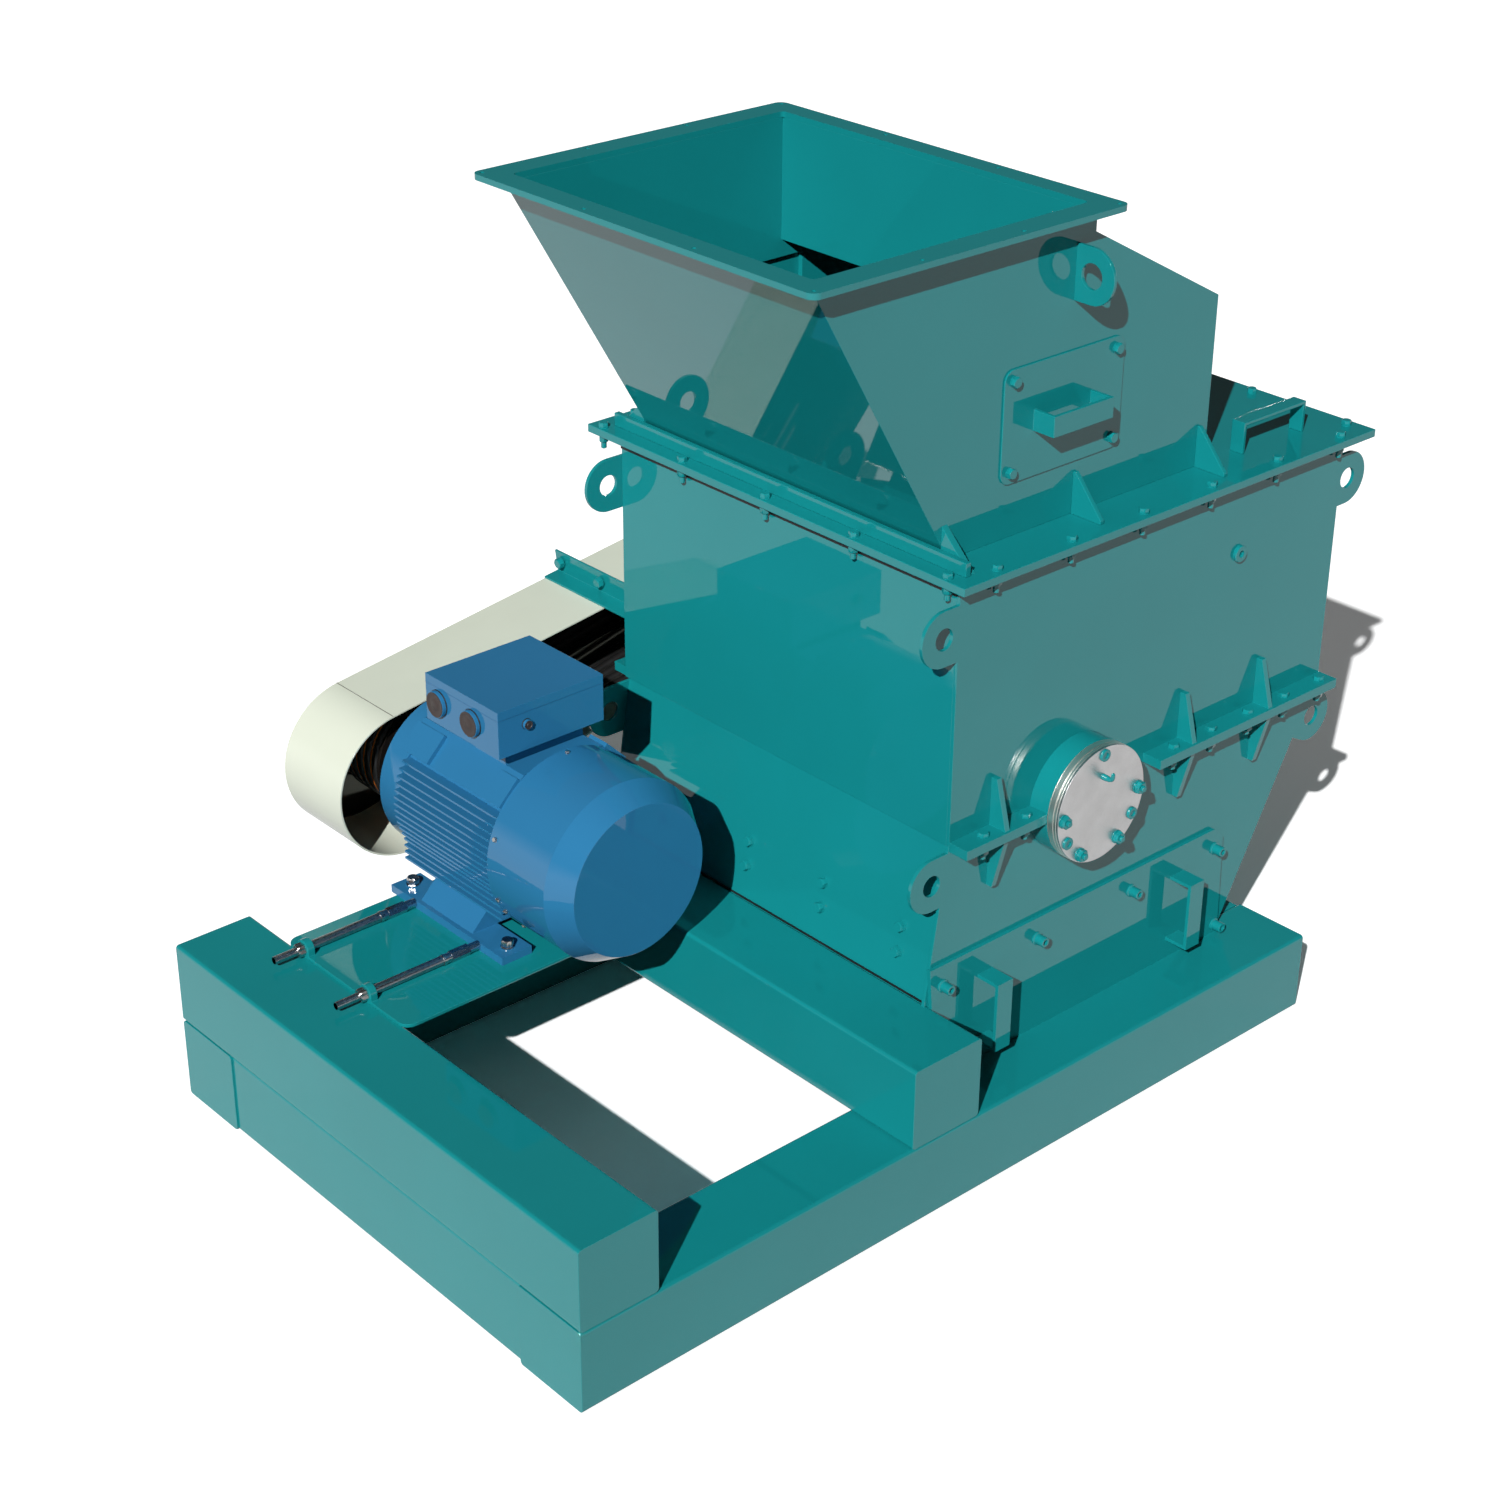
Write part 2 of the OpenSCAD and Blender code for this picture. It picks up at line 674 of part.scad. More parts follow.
// An upper side plate with its two lugs; the shaft's half hole is in its bottom edge
module upper_side(y, front_x) translate([0, y + side_t, 0]) rotate([90, 0, 0])
    linear_extrude(side_t) difference() {
        union() {
            translate([front_x, split_z]) square([body_end - front_x, lid_under - split_z]);
            lug_outline(front_lug_x, upper_lug_z, 0, front_x + lug_neck - front_lug_x);
            lug_outline(rear_lug_x, upper_lug_z, 180, rear_lug_x + lug_neck - body_end);
        }
        translate([front_lug_x, upper_lug_z]) circle(lug_hole_r);
        translate([rear_lug_x, upper_lug_z]) circle(lug_hole_r);
        translate([rotor_x, split_z]) circle(shaft_hole_r);
    }

module near_upper_side() color(teal) place() upper_side(near_out, body_x);

module far_upper_side() color(teal) place() upper_side(far_in, far_side_x);

// The lower front wall leans like the side plates' edges and ends between the beams
module lower_front_wall() color(teal) place() {
    top = body_x + front_inset;
    foot = middle_beam_end + 1;
    xz_plate([
        [top, split_z], [foot, beam_top], [foot, tube], [foot + wall_t, tube],
        [foot + wall_t, beam_top], [top + wall_t, split_z]], near_in, inner_wid);
}

module lower_rear_wall() color(teal) place() xz_plate([
    [body_end - 10, split_z], [rear_foot_x - 10, tube],
    [rear_foot_x - 10 - wall_t, tube], [body_end - 10 - wall_t, split_z]], near_in, inner_wid);

module upper_front_wall() color(teal) place() {
    translate([body_x, near_in, split_z]) cube([wall_t, inner_wid, lid_under - split_z]);
}

module upper_rear_wall() color(teal) place()
    translate([body_end - wall_t, near_in, split_z]) cube([wall_t, inner_wid, lid_under - split_z]);

// Two flange strips bolted face to face at the split, with gussets over and under them
module flange_pair(x, x_end, y_wall, side, gussets) {
    y = side < 0 ? y_wall - flange_wid : y_wall;
    translate([x, y, split_z - flange_t]) cube([x_end - x, flange_wid, 2 * flange_t]);
    tip = y_wall + side * (flange_wid - gusset_tip);
    top = y_wall + side * gusset_top;
    for (gx = gussets, up = [-1, 1]) {
        far = split_z + up * (flange_t + gusset_h[up < 0 ? 0 : 1]);
        yz_plate([
            [y_wall, split_z + up * flange_t], [tip, split_z + up * flange_t], [top, far],
            [y_wall, far]], gx, gusset_t);
    }
}

// The flanges before and behind a bearing, cut back where they meet it
module side_flanges(front_x, y_wall, side) difference() {
    union() {
        flange_pair(front_x, front_flange_end, y_wall, side, front_gussets);
        flange_pair(rear_flange_start, body_end, y_wall, side, rear_gussets);
    }
    translate([0, y_wall, 0]) mirror([0, side < 0 ? 1 : 0, 0])
        y_cyl(rotor_x, -cut, split_z, bearing_r + fit, flange_wid + 2 * cut);
}

module near_flange() color(teal) place() side_flanges(body_x, near_out, -1);

module far_flange() color(teal) place() side_flanges(far_side_x, far_out, 1);

// The bearing housing: a polished drum on the side plate with two narrow grooves round it
module bearing() {
    low = bearing_r - bearing_groove[1];
    rotate([-90, 0, 0]) rotate_extrude() polygon(concat(
        [[shaft_r + fit, 0], [bearing_r, 0]],
        [for (at = bearing_groove_at, p = [
            [bearing_r, 0], [low, 0], [low, bearing_groove[0]], [bearing_r, bearing_groove[0]]])
            [p[0], p[1] + at]],
        [[bearing_r, bearing_reach], [shaft_r + fit, bearing_reach]]));
}

module near_bearing() color(steel) place()
    translate([rotor_x, near_out, split_z]) mirror([0, 1, 0]) bearing();

module near_bearing_cover() color(steel) place()
    y_cyl(rotor_x, near_out - bearing_reach - cover_t, split_z, cover_r, cover_t);

module far_bearing() color(steel) place()
    translate([rotor_x, far_out, split_z]) bearing();

// The stepped shaft, from inside the near bearing to the far face of its pulley
module rotor_shaft() color(steel) place() {
    start = near_out - bearing_reach + 6;
    y_turned(rotor_x, start, split_z, [
        [0, 0], [shaft_r, 0], [shaft_r, near_in + neck_run - start],
        [shaft_mid_r, near_in + neck_run - start], [shaft_mid_r, far_in - neck_run - start],
        [shaft_r, far_in - neck_run - start],
        [shaft_r, pulley_y + pulley_wid + shaft_past - start],
        [0, pulley_y + pulley_wid + shaft_past - start]]);
}

// Places of the hammer pins round the shaft
function pin_at(k) = let (a = first_pin + k * 360 / hammer_rows)
    [rotor_x + hammer_pin_circle * cos(a), split_z + hammer_pin_circle * sin(a)];

module rotor_discs() color(dark) place()
    for (i = [0 : disc_count - 1])
        difference() {
            y_cyl(rotor_x, disc_first_y + i * disc_pitch, split_z, disc_r, disc_t);
            y_cyl(rotor_x, disc_first_y + i * disc_pitch - cut, split_z, shaft_mid_r + fit,
                disc_t + 2 * cut);
            for (k = [0 : hammer_rows - 1])
                y_cyl(pin_at(k)[0], disc_first_y + i * disc_pitch - cut, pin_at(k)[1],
                    hammer_pin_r + fit, disc_t + 2 * cut);
        }

module hammer_pins() color(steel) place()
    for (k = [0 : hammer_rows - 1])
        y_cyl(pin_at(k)[0], disc_first_y - pin_past, pin_at(k)[1], hammer_pin_r,
            (disc_count - 1) * disc_pitch + disc_t + 2 * pin_past);

// One hammer on its pin, pointing straight out from the shaft
module hammer(k, y) {
    a = first_pin + k * 360 / hammer_rows;
    translate([pin_at(k)[0], y + hammer_t, pin_at(k)[1]]) rotate([90, 0, 0]) rotate([0, 0, a])
        linear_extrude(hammer_t) difference() {
            union() {
                circle(hammer_w / 2);
                translate([0, -hammer_w / 2])
                    square([sqrt(hammer_tip_r * hammer_tip_r - hammer_w * hammer_w / 4)
                        - hammer_pin_circle, hammer_w]);
            }
            circle(hammer_pin_r + fit);
        }
}

module hammers() color(dark) place()
    for (i = [0 : disc_count - 2], k = [0 : hammer_rows - 1])
        hammer(k, disc_first_y + disc_t + i * disc_pitch + (disc_pitch - disc_t - hammer_t) / 2);

// A bolted hatch over the foot of a side plate, with two bail handles
module hatch(y_wall, side) {
    y = side < 0 ? y_wall - hatch_t : y_wall;
    toe = beam_top + 2 * hatch_gap;
    translate([0, y + hatch_t, 0]) rotate([90, 0, 0]) linear_extrude(hatch_t) polygon([
        [front_foot_x + 18, toe], [front_foot_x + 6, hatch_top], [hatch_top_end, hatch_top],
        [hatch_corner_x, hatch_corner_z], [hatch_end, tube + hatch_up],
        [middle_beam_end + hatch_gap, tube + hatch_up], [middle_beam_end + hatch_gap, toe]]);
    for (x = hatch_bails) {
        out = side < 0 ? y - bail_reach : y + hatch_t;
        for (z = [hatch_bail_z, hatch_bail_z + bail_h - bar_section])
            translate([x, out, z]) cube([bail_w, bail_reach, bar_section]);
        translate([x, side < 0 ? out : out + bail_reach - bar_section, hatch_bail_z])
            cube([bail_w, bar_section, bail_h]);
    }
}

module near_hatch() color(teal) place() hatch(near_out, -1);

module far_hatch() color(teal) place() hatch(far_out, 1);

module lid_plate() color(teal) place() difference() {
    translate([lid_x, lid_y, lid_under]) cube([lid_end - lid_x, lid_far - lid_y, lid_t]);
    translate([hopper_x + hopper_t + mouth_gap, hopper_y + hopper_t, lid_under - cut])
        cube([hopper_len - 2 * hopper_t - mouth_gap, hopper_wid - 2 * hopper_t, lid_t + 2 * cut]);
}

module lid_bar() color(teal) place()
    translate([bar_x, bar_y, lid_z]) cube([bar_t, bar_far - bar_y, bar_h]);

// A triangular rib from a hopper wall down to the lid's edge
module rib(x, y_wall, side) yz_plate([
    [y_wall, lid_z], [y_wall + side * rib_reach, lid_z],
    [y_wall + side * rib_reach, lid_z + rib_toe], [y_wall + side * rib_flat, lid_z + rib_h],
    [y_wall, lid_z + rib_h]], x, rib_t);

module lid_gussets() color(teal) place() {
    for (x = rear_rib_x) {
        rib(x, hopper_y, -1);
        rib(x, hopper_far, 1);
    }
    for (side = [-1, 1]) {
        y_wall = side < 0 ? hopper_y : hopper_far;
        yz_plate([
            [y_wall, lid_z], [y_wall + side * rib_reach, lid_z],
            [y_wall, lid_z + front_rib_h]], bar_x + bar_t, front_rib_t);
    }
}

// A bail handle on the lid beside the hopper
module lid_handle() color(teal) place() {
    for (leg = [handle_x, handle_x + handle_len - bar_section])
        translate([leg, handle_y, lid_z]) cube([bar_section, handle_w, handle_h - bar_section]);
    translate([handle_x, handle_y, lid_z + handle_h - bar_section])
        cube([handle_len, handle_w, bar_section]);
}

// Outline of the hopper in X and Z, drawn in by some wall thicknesses and carried past its ends
function hopper_side(walls, past) = let (
    in = walls * hopper_t,
    lean = hopper_lean / (hopper_top - lid_z) * past)
    [[hopper_x + walls * lean_t + lean, lid_z - past],
     [mouth_x + walls * lean_t - lean, hopper_top + past],
     [neck_x - in, hopper_top + past], [neck_x - in, neck_z - in * chute_lap[0]],
     [hopper_end - in, chute_z - in * chute_lap[1]], [hopper_end - in, lid_z - past]];

// The walls with an opening behind each inspection door, and the plate that hangs down inside
// from the back of the mouth
module hopper_shell() color(teal) place() {
    difference() {
        xz_plate(hopper_side(0, 0), hopper_y, hopper_wid);
        xz_plate(hopper_side(1, cut), hopper_y + hopper_t, hopper_wid - 2 * hopper_t);
        translate([door_x + door_inset[0], hopper_y - cut, door_z + door_inset[1]])
            cube([door_len - 2 * door_inset[0], hopper_wid + 2 * cut, door_h - 2 * door_inset[1]]);
    }
    translate([neck_x - hopper_t, hopper_y + hopper_t - cut, lid_z + baffle_h])
        cube([hopper_t, hopper_wid - 2 * hopper_t + 2 * cut, neck_z - lid_z - baffle_h]);
}

// Places of the rim's bolt holes: the corners and the thirds of each side
function rim_holes() = let (
    run = (rim_end - rim_x) / 2 - rim_hole_inset,
    across = hopper_wid / 2 + rim_w - rim_hole_inset)
    [for (u = [-1, -1 / 3, 1 / 3, 1], v = [-1, -1 / 3, 1 / 3, 1]) if (abs(u) == 1 || abs(v) == 1)
        [(rim_x + rim_end) / 2 + u * run, hopper_y + hopper_wid / 2 + v * across]];

module hopper_rim() color(teal) place() difference() {
    translate([rim_x, hopper_y - rim_w, hopper_top])
        linear_extrude(rim_t) round_rect(rim_end - rim_x, hopper_wid + 2 * rim_w, rim_corner_r);
    translate([mouth_x + lean_t, hopper_y + hopper_t, hopper_top - cut])
        linear_extrude(rim_t + 2 * cut)
            round_rect(neck_x - hopper_t - mouth_x - lean_t, hopper_wid - 2 * hopper_t,
                mouth_corner_r);
    for (p = rim_holes())
        translate([p[0], p[1], hopper_top - cut]) cylinder(r = rim_hole_r, h = rim_t + 2 * cut);
}

// Lifting lugs that stand out of the hopper's two side walls, across the machine
module hopper_lugs() color(teal) place()
    for (side = [-1, 1]) {
        y_wall = side < 0 ? hopper_y : hopper_far;
        y = y_wall + side * lug_out;
        translate([hopper_lug_x, 0, 0]) rotate([90, 0, 90])
            linear_extrude(hopper_lug_t) difference() {
                union() {
                    translate([y, hopper_lug_z]) circle(hopper_lug_r);
                    translate([min(y_wall, y), hopper_lug_z - hopper_lug_r])
                        square([lug_out, 2 * hopper_lug_r]);
                }
                translate([y, hopper_lug_z]) circle(hopper_lug_hole_r);
                translate([side < 0 ? y_wall : y_wall - hopper_lug_r, hopper_lug_z - hopper_lug_r - 1])
                    square([hopper_lug_r, 2 * hopper_lug_r + 2]);
            }
    }

// A bolted inspection door on a side wall, with a grip bent from flat bar
module inspection_door(y_wall, side) translate([0, y_wall, 0]) mirror([0, side < 0 ? 0 : 1, 0]) {
    translate([door_x, 0, door_z]) rotate([90, 0, 0])
        linear_extrude(door_t) round_rect(door_len, door_h, door_r);
    out = -door_t - grip_reach;
    for (x = [grip_x, grip_x + grip_l - grip_t])
        translate([x, out, grip_z]) cube([grip_t, grip_reach, grip_h]);
    translate([grip_x, out, grip_z]) cube([grip_l, grip_t, grip_h]);
}

module near_door() color(teal) place() inspection_door(hopper_y, -1);

module far_door() color(teal) place() inspection_door(hopper_far, 1);

near_runner();
far_runner();
cross_members();
front_beam();
middle_beam();
motor_plate();
jack_screws();
motor_frame();
fan_cover();
drive_end_shield();
terminal_box();
motor_shaft();
drive_pulley();
drive_belts();
rotor_pulley();
belt_guard();
guard_bracket();
near_lower_side();
far_lower_side();
lower_front_wall();
lower_rear_wall();
near_upper_side();
far_upper_side();
upper_front_wall();
upper_rear_wall();
near_flange();
far_flange();
near_bearing();
near_bearing_cover();
far_bearing();
rotor_shaft();
rotor_discs();
hammer_pins();
hammers();
near_hatch();
far_hatch();
lid_plate();
lid_bar();
lid_gussets();
lid_handle();
hopper_shell();
hopper_rim();
hopper_lugs();
near_door();
far_door();
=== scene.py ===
"""Finishes the hammer crusher: its paint, steel and rubber, its fasteners, seams and seals, and the
painted shade and painted reflection on some of its parts.
"""

import logging
import math
from dataclasses import dataclass, field
from enum import Enum
from typing import Optional, Union

import bmesh
import bpy
import numpy as np
from mathutils import Euler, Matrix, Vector


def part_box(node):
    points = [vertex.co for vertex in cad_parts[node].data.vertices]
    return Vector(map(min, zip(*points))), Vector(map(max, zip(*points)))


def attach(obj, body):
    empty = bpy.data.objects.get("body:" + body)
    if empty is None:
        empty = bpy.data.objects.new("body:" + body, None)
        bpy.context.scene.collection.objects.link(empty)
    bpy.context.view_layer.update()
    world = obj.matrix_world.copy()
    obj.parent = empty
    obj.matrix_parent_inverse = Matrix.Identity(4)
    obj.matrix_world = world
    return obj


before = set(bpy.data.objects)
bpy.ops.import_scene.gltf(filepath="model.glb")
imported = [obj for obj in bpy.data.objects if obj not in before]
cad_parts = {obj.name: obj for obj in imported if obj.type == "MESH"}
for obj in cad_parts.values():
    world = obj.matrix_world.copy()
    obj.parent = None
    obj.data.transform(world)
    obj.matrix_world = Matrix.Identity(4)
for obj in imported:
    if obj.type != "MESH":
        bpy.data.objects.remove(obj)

LOG = logging.getLogger("hammer_crusher")
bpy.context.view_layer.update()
Array = np.ndarray
Material = bpy.types.Material
Colour = tuple[float, float, float]
Value = Union[float, tuple, "Wire"]
Row = Union[float, Array]


class Slot(str, Enum):
    """The record's material slots."""

    TEAL = "teal_paint"
    BLUE = "blue_paint"
    CREAM = "cream_paint"
    ORANGE = "orange_paint"
    POLISHED = "polished_steel"
    DARK = "dark_steel"
    CAST = "cast_steel"
    RUBBER = "belt_rubber"


# ---- shader maths


@dataclass(frozen=True)
class Wire:
    """An output socket that takes part in arithmetic; each operator adds one Math node."""

    shader: "Shader"
    socket: bpy.types.NodeSocket

    def _maths(self, operation: str, first: Value, second: Value) -> "Wire":
        """Joins two values by one Math node."""
        return self.shader.node("ShaderNodeMath", {"operation": operation}, {0: first, 1: second})

    def __add__(self, other: Value) -> "Wire":
        """This value plus another."""
        return self._maths("ADD", self, other)

    def __rsub__(self, other: Value) -> "Wire":
        """Another value less this one."""
        return self._maths("SUBTRACT", other, self)

    def __mul__(self, other: Value) -> "Wire":
        """This value times another."""
        return self._maths("MULTIPLY", self, other)

    def __gt__(self, other: Value) -> "Wire":
        """1 where this value is the greater, otherwise 0."""
        return self._maths("GREATER_THAN", self, other)

    __radd__ = __add__

    def largest(self, other: Value) -> "Wire":
        """The greater of the two values."""
        return self._maths("MAXIMUM", self, other)


@dataclass
class Shader:
    """A node tree of one material or world, built from expressions."""

    tree: bpy.types.NodeTree

    @classmethod
    def blank(cls, owner: Union[Material, bpy.types.World]) -> "Shader":
        """Starts an empty tree on a material or a world."""
        owner.use_nodes = True
        owner.node_tree.nodes.clear()
        return cls(owner.node_tree)

    def node(self, kind: str, settings: Optional[dict] = None, values: Optional[dict] = None,
             output: Union[int, str] = 0) -> Wire:
        """Adds one node.

        Args:
            kind: the node's type.
            settings: properties that are set first.
            values: numbers, colours or wires by the name or number of the input socket.
            output: the output socket that is returned.

        Returns:
            The chosen output.
        """
        made = self.tree.nodes.new(kind)
        for name, value in (settings or {}).items():
            setattr(made, name, value)
        for name, value in (values or {}).items():
            if isinstance(value, Wire):
                self.tree.links.new(value.socket, made.inputs[name])
            else:
                made.inputs[name].default_value = value
        return Wire(self, made.outputs[output]) if made.outputs else None

    def place(self) -> Wire:
        """Object coordinates, which are metres in the machine's own frame."""
        return self.node("ShaderNodeTexCoord", output="Object")

    def noise(self, where: Wire, scale: float, detail: float = 2.0, rough: float = 0.5) -> Wire:
        """Fractal noise from 0 to 1: scale is waves in a metre, rough the fine octaves' share."""
        return self.node("ShaderNodeTexNoise", {}, {
            "Vector": where, "Scale": scale, "Detail": detail, "Roughness": rough})

    def depth(self) -> Wire:
        """Distance along Y in the machine's own frame."""
        return self.part(self.place(), "Y")

    def part(self, vector: Wire, axis: str) -> Wire:
        """One coordinate of a vector."""
        return self.node("ShaderNodeSeparateXYZ", {}, {0: vector}, output=axis)

    def ray(self, kind: str) -> Wire:
        """1 on rays of one kind, otherwise 0."""
        return self.node("ShaderNodeLightPath", output=f"Is {kind} Ray")

    def stretched(self, where: Wire, scale: tuple) -> Wire:
        """Coordinates multiplied axis by axis, which draws a pattern out along one direction."""
        return self.node("ShaderNodeVectorMath", {"operation": "MULTIPLY"}, {0: where, 1: scale})

    def span(self, value: Wire, low: float, high: float, to_low: float, to_high: float) -> Wire:
        """Carries a value from one range to another and holds it there."""
        return self.node("ShaderNodeMapRange", {"clamp": True}, {
            "Value": value, "From Min": low, "From Max": high, "To Min": to_low, "To Max": to_high})

    def blend(self, factor: Value, first: Value, second: Value) -> Wire:
        """Mixes two colours by a factor."""
        pick = {"data_type": "RGBA", "blend_type": "MIX"}
        colours = {0: factor, 6: self._rgba(first), 7: self._rgba(second)}
        return self.node("ShaderNodeMix", pick, colours, output=2)

    def _rgba(self, colour: Value) -> Value:
        """Adds the alpha that a colour socket wants."""
        return colour if isinstance(colour, Wire) else (*colour[:3], 1.0)

    def bump(self, height: Wire, metres: float) -> Wire:
        """A normal that follows a height; metres is what a height of 1 stands for."""
        return self.node("ShaderNodeBump", {}, {"Height": height, "Distance": metres})

    def surface(self, shown: Wire) -> None:
        """Ends a material's or a world's tree in its output."""
        world = any(n.type == "BACKGROUND" for n in self.tree.nodes)
        kind = "ShaderNodeOutputWorld" if world else "ShaderNodeOutputMaterial"
        self.node(kind, {}, {"Surface": shown})


# ---- finishes


@dataclass(frozen=True)
class Finish:
    """A material that is one Principled surface in Object coordinates."""

    name: str
    colour: Colour

    def material(self) -> Material:
        """Builds a material whose Principled node carries this finish's sockets."""
        made = bpy.data.materials.new(self.name)
        s = Shader.blank(made)
        s.surface(s.node("ShaderNodeBsdfPrincipled", {}, self.sockets(s, s.place())))
        return made

    def sockets(self, s: Shader, where: Wire) -> dict:
        """What goes on the Principled node's sockets; each finish has its own.

        Args:
            s: the shader that takes the nodes.
            where: Object coordinates.

        Returns:
            Values and wires by the name of their socket.
        """
        raise NotImplementedError


@dataclass(frozen=True)
class GlossPaint(Finish):
    """Sprayed two-coat enamel on steel plate: nearly a mirror, with a faint orange peel."""

    sheen: float = 0.02
    drift: float = 0.02
    patch_scale: float = 2.3
    dust_scale: float = 19.0
    peel_scale: float = 160.0
    peel_depth: float = 0.000003
    wave_scale: float = 1.7
    wave_depth: float = 0.0001

    def sockets(self, s: Shader, where: Wire) -> dict:
        """A dielectric: colour drifts over half a metre, roughness follows a finer noise, and the
        normal follows plate waves plus orange peel."""
        patches = s.noise(where, self.patch_scale, 3.0)
        dusty = s.noise(where, self.dust_scale, 4.0, 0.6)
        deep = tuple(c * (1 - self.drift) for c in self.colour)
        pale = tuple(c * (1 + self.drift) for c in self.colour)
        tone = s.blend(s.span(patches, 0.35, 0.65, 0.0, 1.0), deep, pale)
        gloss = s.span(dusty, 0.3, 0.75, self.sheen * 0.8, self.sheen * 1.35)
        height = s.noise(where, self.wave_scale, 1.0) * (self.wave_depth / self.peel_depth)
        height = height + s.noise(where, self.peel_scale, 2.0)
        return {"Base Color": tone, "Roughness": gloss, "IOR": 1.53,
                "Normal": s.bump(height, self.peel_depth)}


@dataclass(frozen=True)
class TurnedSteel(Finish):
    """Machined steel with fine tool marks drawn out along one axis."""

    roughness: float = 0.2
    marks: tuple = (40.0, 900.0, 40.0)
    mark_depth: float = 0.00002
    film_scale: float = 14.0
    film_tone: float = 0.82

    def sockets(self, s: Shader, where: Wire) -> dict:
        """A metal: tool marks are noise stretched across their axis, which varies the tone, the
        roughness and the normal together."""
        lines = s.noise(s.stretched(where, self.marks), 1.0, 3.0, 0.6)
        film = s.noise(where, self.film_scale, 3.0)
        dim = tuple(c * self.film_tone for c in self.colour)
        tone = s.blend(s.span(lines + film, 0.7, 1.3, 0.0, 1.0), dim, self.colour)
        rough = s.span(lines, 0.3, 0.7, self.roughness * 0.7, self.roughness * 1.4)
        return {"Base Color": tone, "Roughness": rough, "Metallic": 1.0,
                "Normal": s.bump(lines, self.mark_depth)}


@dataclass(frozen=True)
class CastSteel(Finish):
    """As-cast wear steel: a grainy dark skin, rubbed bright in patches."""

    worn: Colour
    patch_scale: float = 5.0
    grain_scale: float = 220.0
    grain_depth: float = 0.0004

    def sockets(self, s: Shader, where: Wire) -> dict:
        """A metal: noise parts its skin from rubbed patches, which are smoother and lack the
        grain."""
        rubbed = s.span(s.noise(where, self.patch_scale, 5.0, 0.65), 0.5, 0.62, 0.0, 1.0)
        grain = s.noise(where, self.grain_scale, 3.0, 0.6)
        tone = s.blend(rubbed, self.colour, self.worn)
        rough = s.span(rubbed, 0.0, 1.0, 0.62, 0.34)
        return {"Base Color": tone, "Roughness": rough, "Metallic": 0.85,
                "Normal": s.bump(grain * (1 - rubbed * 0.8), self.grain_depth)}


@dataclass(frozen=True)
class BeltRubber(Finish):
    """Moulded belt rubber with a woven cover, polished along its flanks."""

    dust_scale: float = 9.0
    dust_tone: float = 2.2
    weave_scale: float = 420.0
    weave_depth: float = 0.00012

    def sockets(self, s: Shader, where: Wire) -> dict:
        """A dark dielectric: a fine weave in its normal, dusty patches in its roughness."""
        dust = s.noise(where, self.dust_scale, 4.0, 0.6)
        weave = s.noise(where, self.weave_scale, 1.0)
        pale = tuple(c * self.dust_tone for c in self.colour)
        tone = s.blend(s.span(dust, 0.4, 0.8, 0.0, 0.6), self.colour, pale)
        return {"Base Color": tone, "Roughness": s.span(dust, 0.3, 0.8, 0.38, 0.62), "IOR": 1.5,
                "Normal": s.bump(weave, self.weave_depth)}


@dataclass
class Finishes:
    """Every finish of the machine, one material to each slot."""

    table: dict = field(default_factory=dict)

    def build(self) -> None:
        """Makes the materials."""
        self.table = {slot: finish.material() for slot, finish in {
            Slot.TEAL: GlossPaint("teal_enamel", (0.006, 0.240, 0.252)),
            Slot.BLUE: GlossPaint("blue_enamel", (0.024, 0.170, 0.345)),
            Slot.CREAM: GlossPaint("cream_enamel", (0.70, 0.74, 0.62), sheen=0.10),
            Slot.ORANGE: GlossPaint("orange_enamel", (0.80, 0.20, 0.03), sheen=0.14),
            Slot.POLISHED: TurnedSteel("polished_steel", (0.60, 0.58, 0.57), 0.22),
            Slot.DARK: TurnedSteel("dark_steel", (0.50, 0.51, 0.54), 0.22),
            Slot.CAST: CastSteel("cast_steel", (0.10, 0.095, 0.09), (0.38, 0.37, 0.36)),
            Slot.RUBBER: BeltRubber("belt_rubber", (0.008, 0.008, 0.008)),
        }.items()}


FINISHES = Finishes()


@dataclass
class Repaint:
    """A copy of a slot's finish, of which single sockets are changed."""

    made: Material
    s: Shader
    surface: bpy.types.Node

    @classmethod
    def of(cls, slot: Slot, name: str) -> "Repaint":
        """Copies the finish of a slot under another name."""
        made = FINISHES.table[slot].copy()
        made.name = name
        surface = next(n for n in made.node_tree.nodes if n.type == "BSDF_PRINCIPLED")
        return cls(made, Shader(made.node_tree), surface)

    @property
    def colour(self) -> Wire:
        """What now gives the finish its colour."""
        return Wire(self.s, self.surface.inputs["Base Color"].links[0].from_socket)

    def wire(self, name: str, value: Wire) -> None:
        """Puts a value on one socket."""
        self.s.tree.links.new(value.socket, self.surface.inputs[name])


# ---- surfaces


X, Y, Z = np.eye(3)
HEX_CHAMFER = 0.16      # of a hexagon's height
HEX_CROWN = 0.47        # radius of its flat top, of the width over flats
THREAD_SHARE = 0.33     # radius of a thread, of its bolt's width over flats
ROD_POINTS = 14         # points round a rod
NEXT_TURN = 2.7         # further turn of each next fastener, of the first one's
THIN_FACE = 1e-7        # edges shorter than this are dissolved, in metres
POLE_GAP = 1e-6         # points nearer than this become one, in metres
JOIN_GAP = 0.00002      # the same for the solids' own meshes
FLAT_WITHIN = 0.3       # degrees between faces that count as one
SHARP_OVER = 28.0       # degrees between faces whose edge is broken


def points(x: Row, y: Row, z: Row) -> Array:
    """Points from coordinates that are numbers or rows of one length."""
    return np.stack(np.broadcast_arrays(x, y, z), axis=-1).reshape(-1, 3).astype(float)


def around(count: int) -> Array:
    """Even angles round the axis, as a column."""
    return np.arange(count)[:, None] * (2 * math.pi / count)


